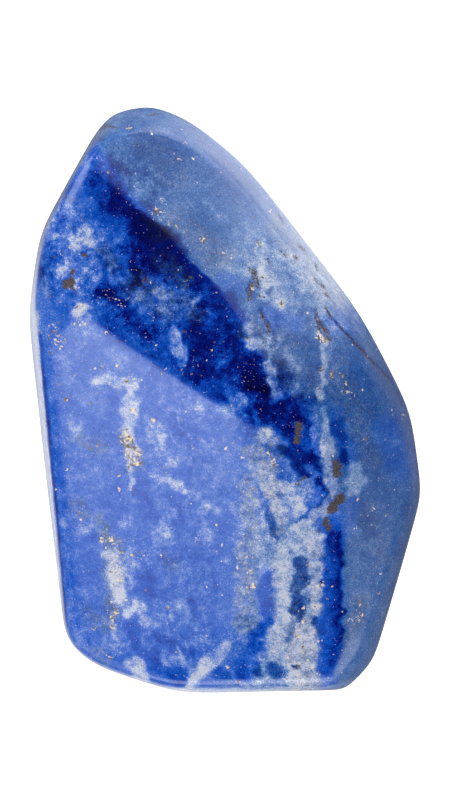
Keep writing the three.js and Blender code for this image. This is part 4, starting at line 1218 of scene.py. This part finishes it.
def softbox_cloth(name, brightness, feather):
    """Lit diffusion cloth, brightest in the middle and fading out over the feather at its edges.

    It is sheer, so the light of a sheet behind it shines through and adds to its own."""
    material = bpy.data.materials.new(name)
    material.use_nodes = True
    tree = material.node_tree
    tree.nodes.clear()
    place = add_node(tree, "ShaderNodeUVMap", uv_map="UVMap").outputs[0]
    split = add_node(tree, "ShaderNodeSeparateXYZ", {0: place})
    strength = brightness
    for edge, (axis, width) in enumerate(zip("XXYY", feather)):
        start, full = (0, width) if edge % 2 == 0 else (1, 1 - width)
        sockets = {"Value": split.outputs[axis], "From Min": start, "From Max": full}
        fade = add_node(tree, "ShaderNodeMapRange", sockets, interpolation_type="SMOOTHSTEP").outputs[0]
        strength = add_node(tree, "ShaderNodeMath", {0: fade, 1: strength}, operation="MULTIPLY").outputs[0]
    glow = add_node(tree, "ShaderNodeEmission", {"Color": (1, 1, 1, 1), "Strength": strength})
    sheer = add_node(tree, "ShaderNodeBsdfTransparent")
    both = add_node(tree, "ShaderNodeAddShader", {0: glow.outputs[0], 1: sheer.outputs[0]})
    add_node(tree, "ShaderNodeOutputMaterial", {"Surface": both.outputs[0]})
    return material


# ---------------------------------------------------------------------------------------------
# Stage: a lit white table, curved softboxes around it and a camera straight above.

SOFTBOX_DISTANCE = 0.35

# Azimuths and elevations of the edges, brightness, and the share that fades at the first and last
# azimuth and at the lowest and highest elevation. Those that start below level are cut by the table.
SOFTBOXES = {
    "front_softbox": ((203, 255), (42, 78), 3.9, (0.08, 0.75, 0.62, 0.1)),
    "front_low_softbox": ((203, 247), (-5, 41), 1.4, (0.3, 0.2, 0.01, 0.2)),
    "front_top_softbox": ((238, 286), (54, 78), 1.5, (0.35, 0.4, 0.3, 0.15)),
    "foot_softbox": ((238, 292), (-5, 27), 3.6, (0.3, 0.3, 0.01, 0.3)),
    "left_softbox": ((109, 167), (8, 71), 3.6, (0.2, 0.2, 0.2, 0.2)),
    "upper_right_softbox": ((29, 66), (-5, 58), 3.4, (0.55, 0.6, 0.1, 0.3)),
    "upper_right_top_softbox": ((22, 90), (50, 66), 1.1, (0.2, 0.2, 0.3, 0.06)),
    "nose_softbox": ((56, 106), (-5, 58), 0.9, (0.2, 0.4, 0.25, 0.15)),
    "right_softbox": ((-24, 24), (-5, 30), 0.2, (0.3, 0.3, 0.01, 0.3)),
    "lower_right_softbox": ((286, 351), (-5, 34), 2.6, (0.2, 0.35, 0.01, 0.4)),
}


def glowing_sheet(name, points, brightness, feather):
    """A sheet through a square grid of points that glows and fades out towards its four edges."""
    steps = len(points) - 1
    corner = (np.arange(steps)[:, None] * (steps + 1) + np.arange(steps)).reshape(-1, 1)
    faces = corner + [0, steps + 1, steps + 2, 1]
    up, across = np.divmod(faces.ravel(), steps + 1)
    mesh = bpy.data.meshes.new(name)
    mesh.from_pydata(points.reshape(-1, 3).tolist(), [], faces.tolist())
    mesh.uv_layers.new(name="UVMap").data.foreach_set("uv", (np.stack([across, up], axis=1) / steps).ravel())
    mesh.materials.append(softbox_cloth(name, brightness, feather))
    sheet = bpy.data.objects.new(name, mesh)
    sheet.visible_camera = False
    bpy.context.scene.collection.objects.link(sheet)
    return sheet


def between(azimuths, others):
    """A square grid of azimuths and of a second measure, evenly spaced between their two ends."""
    steps = 25
    return np.meshgrid(np.linspace(*azimuths, steps), np.linspace(*others, steps))


def softbox(name, azimuths, elevations, brightness, feather):
    """A patch of a dome around the stone, between two azimuths and two elevations.

    Each hangs 3 mm farther out than the one before, so that no two touch where they overlap."""
    turn, rise = between(azimuths, elevations)
    distance = SOFTBOX_DISTANCE + 3 * MM * list(SOFTBOXES).index(name)
    points = distance * direction(turn, 90 - rise) + [0, 0, GIRDLE_HEIGHT * MM]
    return glowing_sheet(name, points, brightness, feather)


def light_table():
    """A level round table top, wide enough to fill every view."""
    radius, sides = 3.0, 64
    turn = np.linspace(0, 2 * np.pi, sides, endpoint=False)
    rim = np.stack([radius * np.cos(turn), radius * np.sin(turn), np.zeros(sides)], axis=1)
    mesh = bpy.data.meshes.new("light_table")
    mesh.from_pydata(rim.tolist(), [], [list(range(sides))])
    mesh.materials.append(lit_acrylic())
    table = bpy.data.objects.new("light_table", mesh)
    bpy.context.scene.collection.objects.link(table)
    return table


def studio_air():
    """A pale backdrop for the camera, and almost no light on the stone from beyond the softboxes."""
    world = bpy.data.worlds.new("studio_air")
    world.use_nodes = True
    tree = world.node_tree
    tree.nodes.clear()
    dim = add_node(tree, "ShaderNodeBackground", {"Color": (1, 1, 1, 1), "Strength": 0.03})
    pale = add_node(tree, "ShaderNodeBackground", {"Color": (1, 1, 1, 1), "Strength": 1.0})
    seen = add_node(tree, "ShaderNodeLightPath").outputs["Is Camera Ray"]
    both = add_node(tree, "ShaderNodeMixShader", {0: seen, 1: dim.outputs[0], 2: pale.outputs[0]})
    add_node(tree, "ShaderNodeOutputWorld", {"Surface": both.outputs[0]})
    bpy.context.scene.world = world


def overhead_camera():
    """A long lens straight above, with the stone's length running up the picture.

    It hangs view height * lens / sensor width over the girdle, so that 48 mm fill the picture's height."""
    view_height = 0.048
    camera_data = bpy.data.cameras.new("overhead_camera")
    camera_data.lens = 500
    camera = bpy.data.objects.new("overhead_camera", camera_data)
    camera.location = (0, 0, GIRDLE_HEIGHT * MM + view_height * camera_data.lens / camera_data.sensor_width)
    bpy.context.scene.collection.objects.link(camera)
    bpy.context.scene.camera = camera


overhead_camera()
studio_air()
light_table()
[softbox(name, *facts) for name, facts in SOFTBOXES.items()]
bpy.context.scene.view_settings.view_transform = "Standard"

stone = make_stone()
stone.data.materials.append(polished_lapis())
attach(stone, "root")
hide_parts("stone")
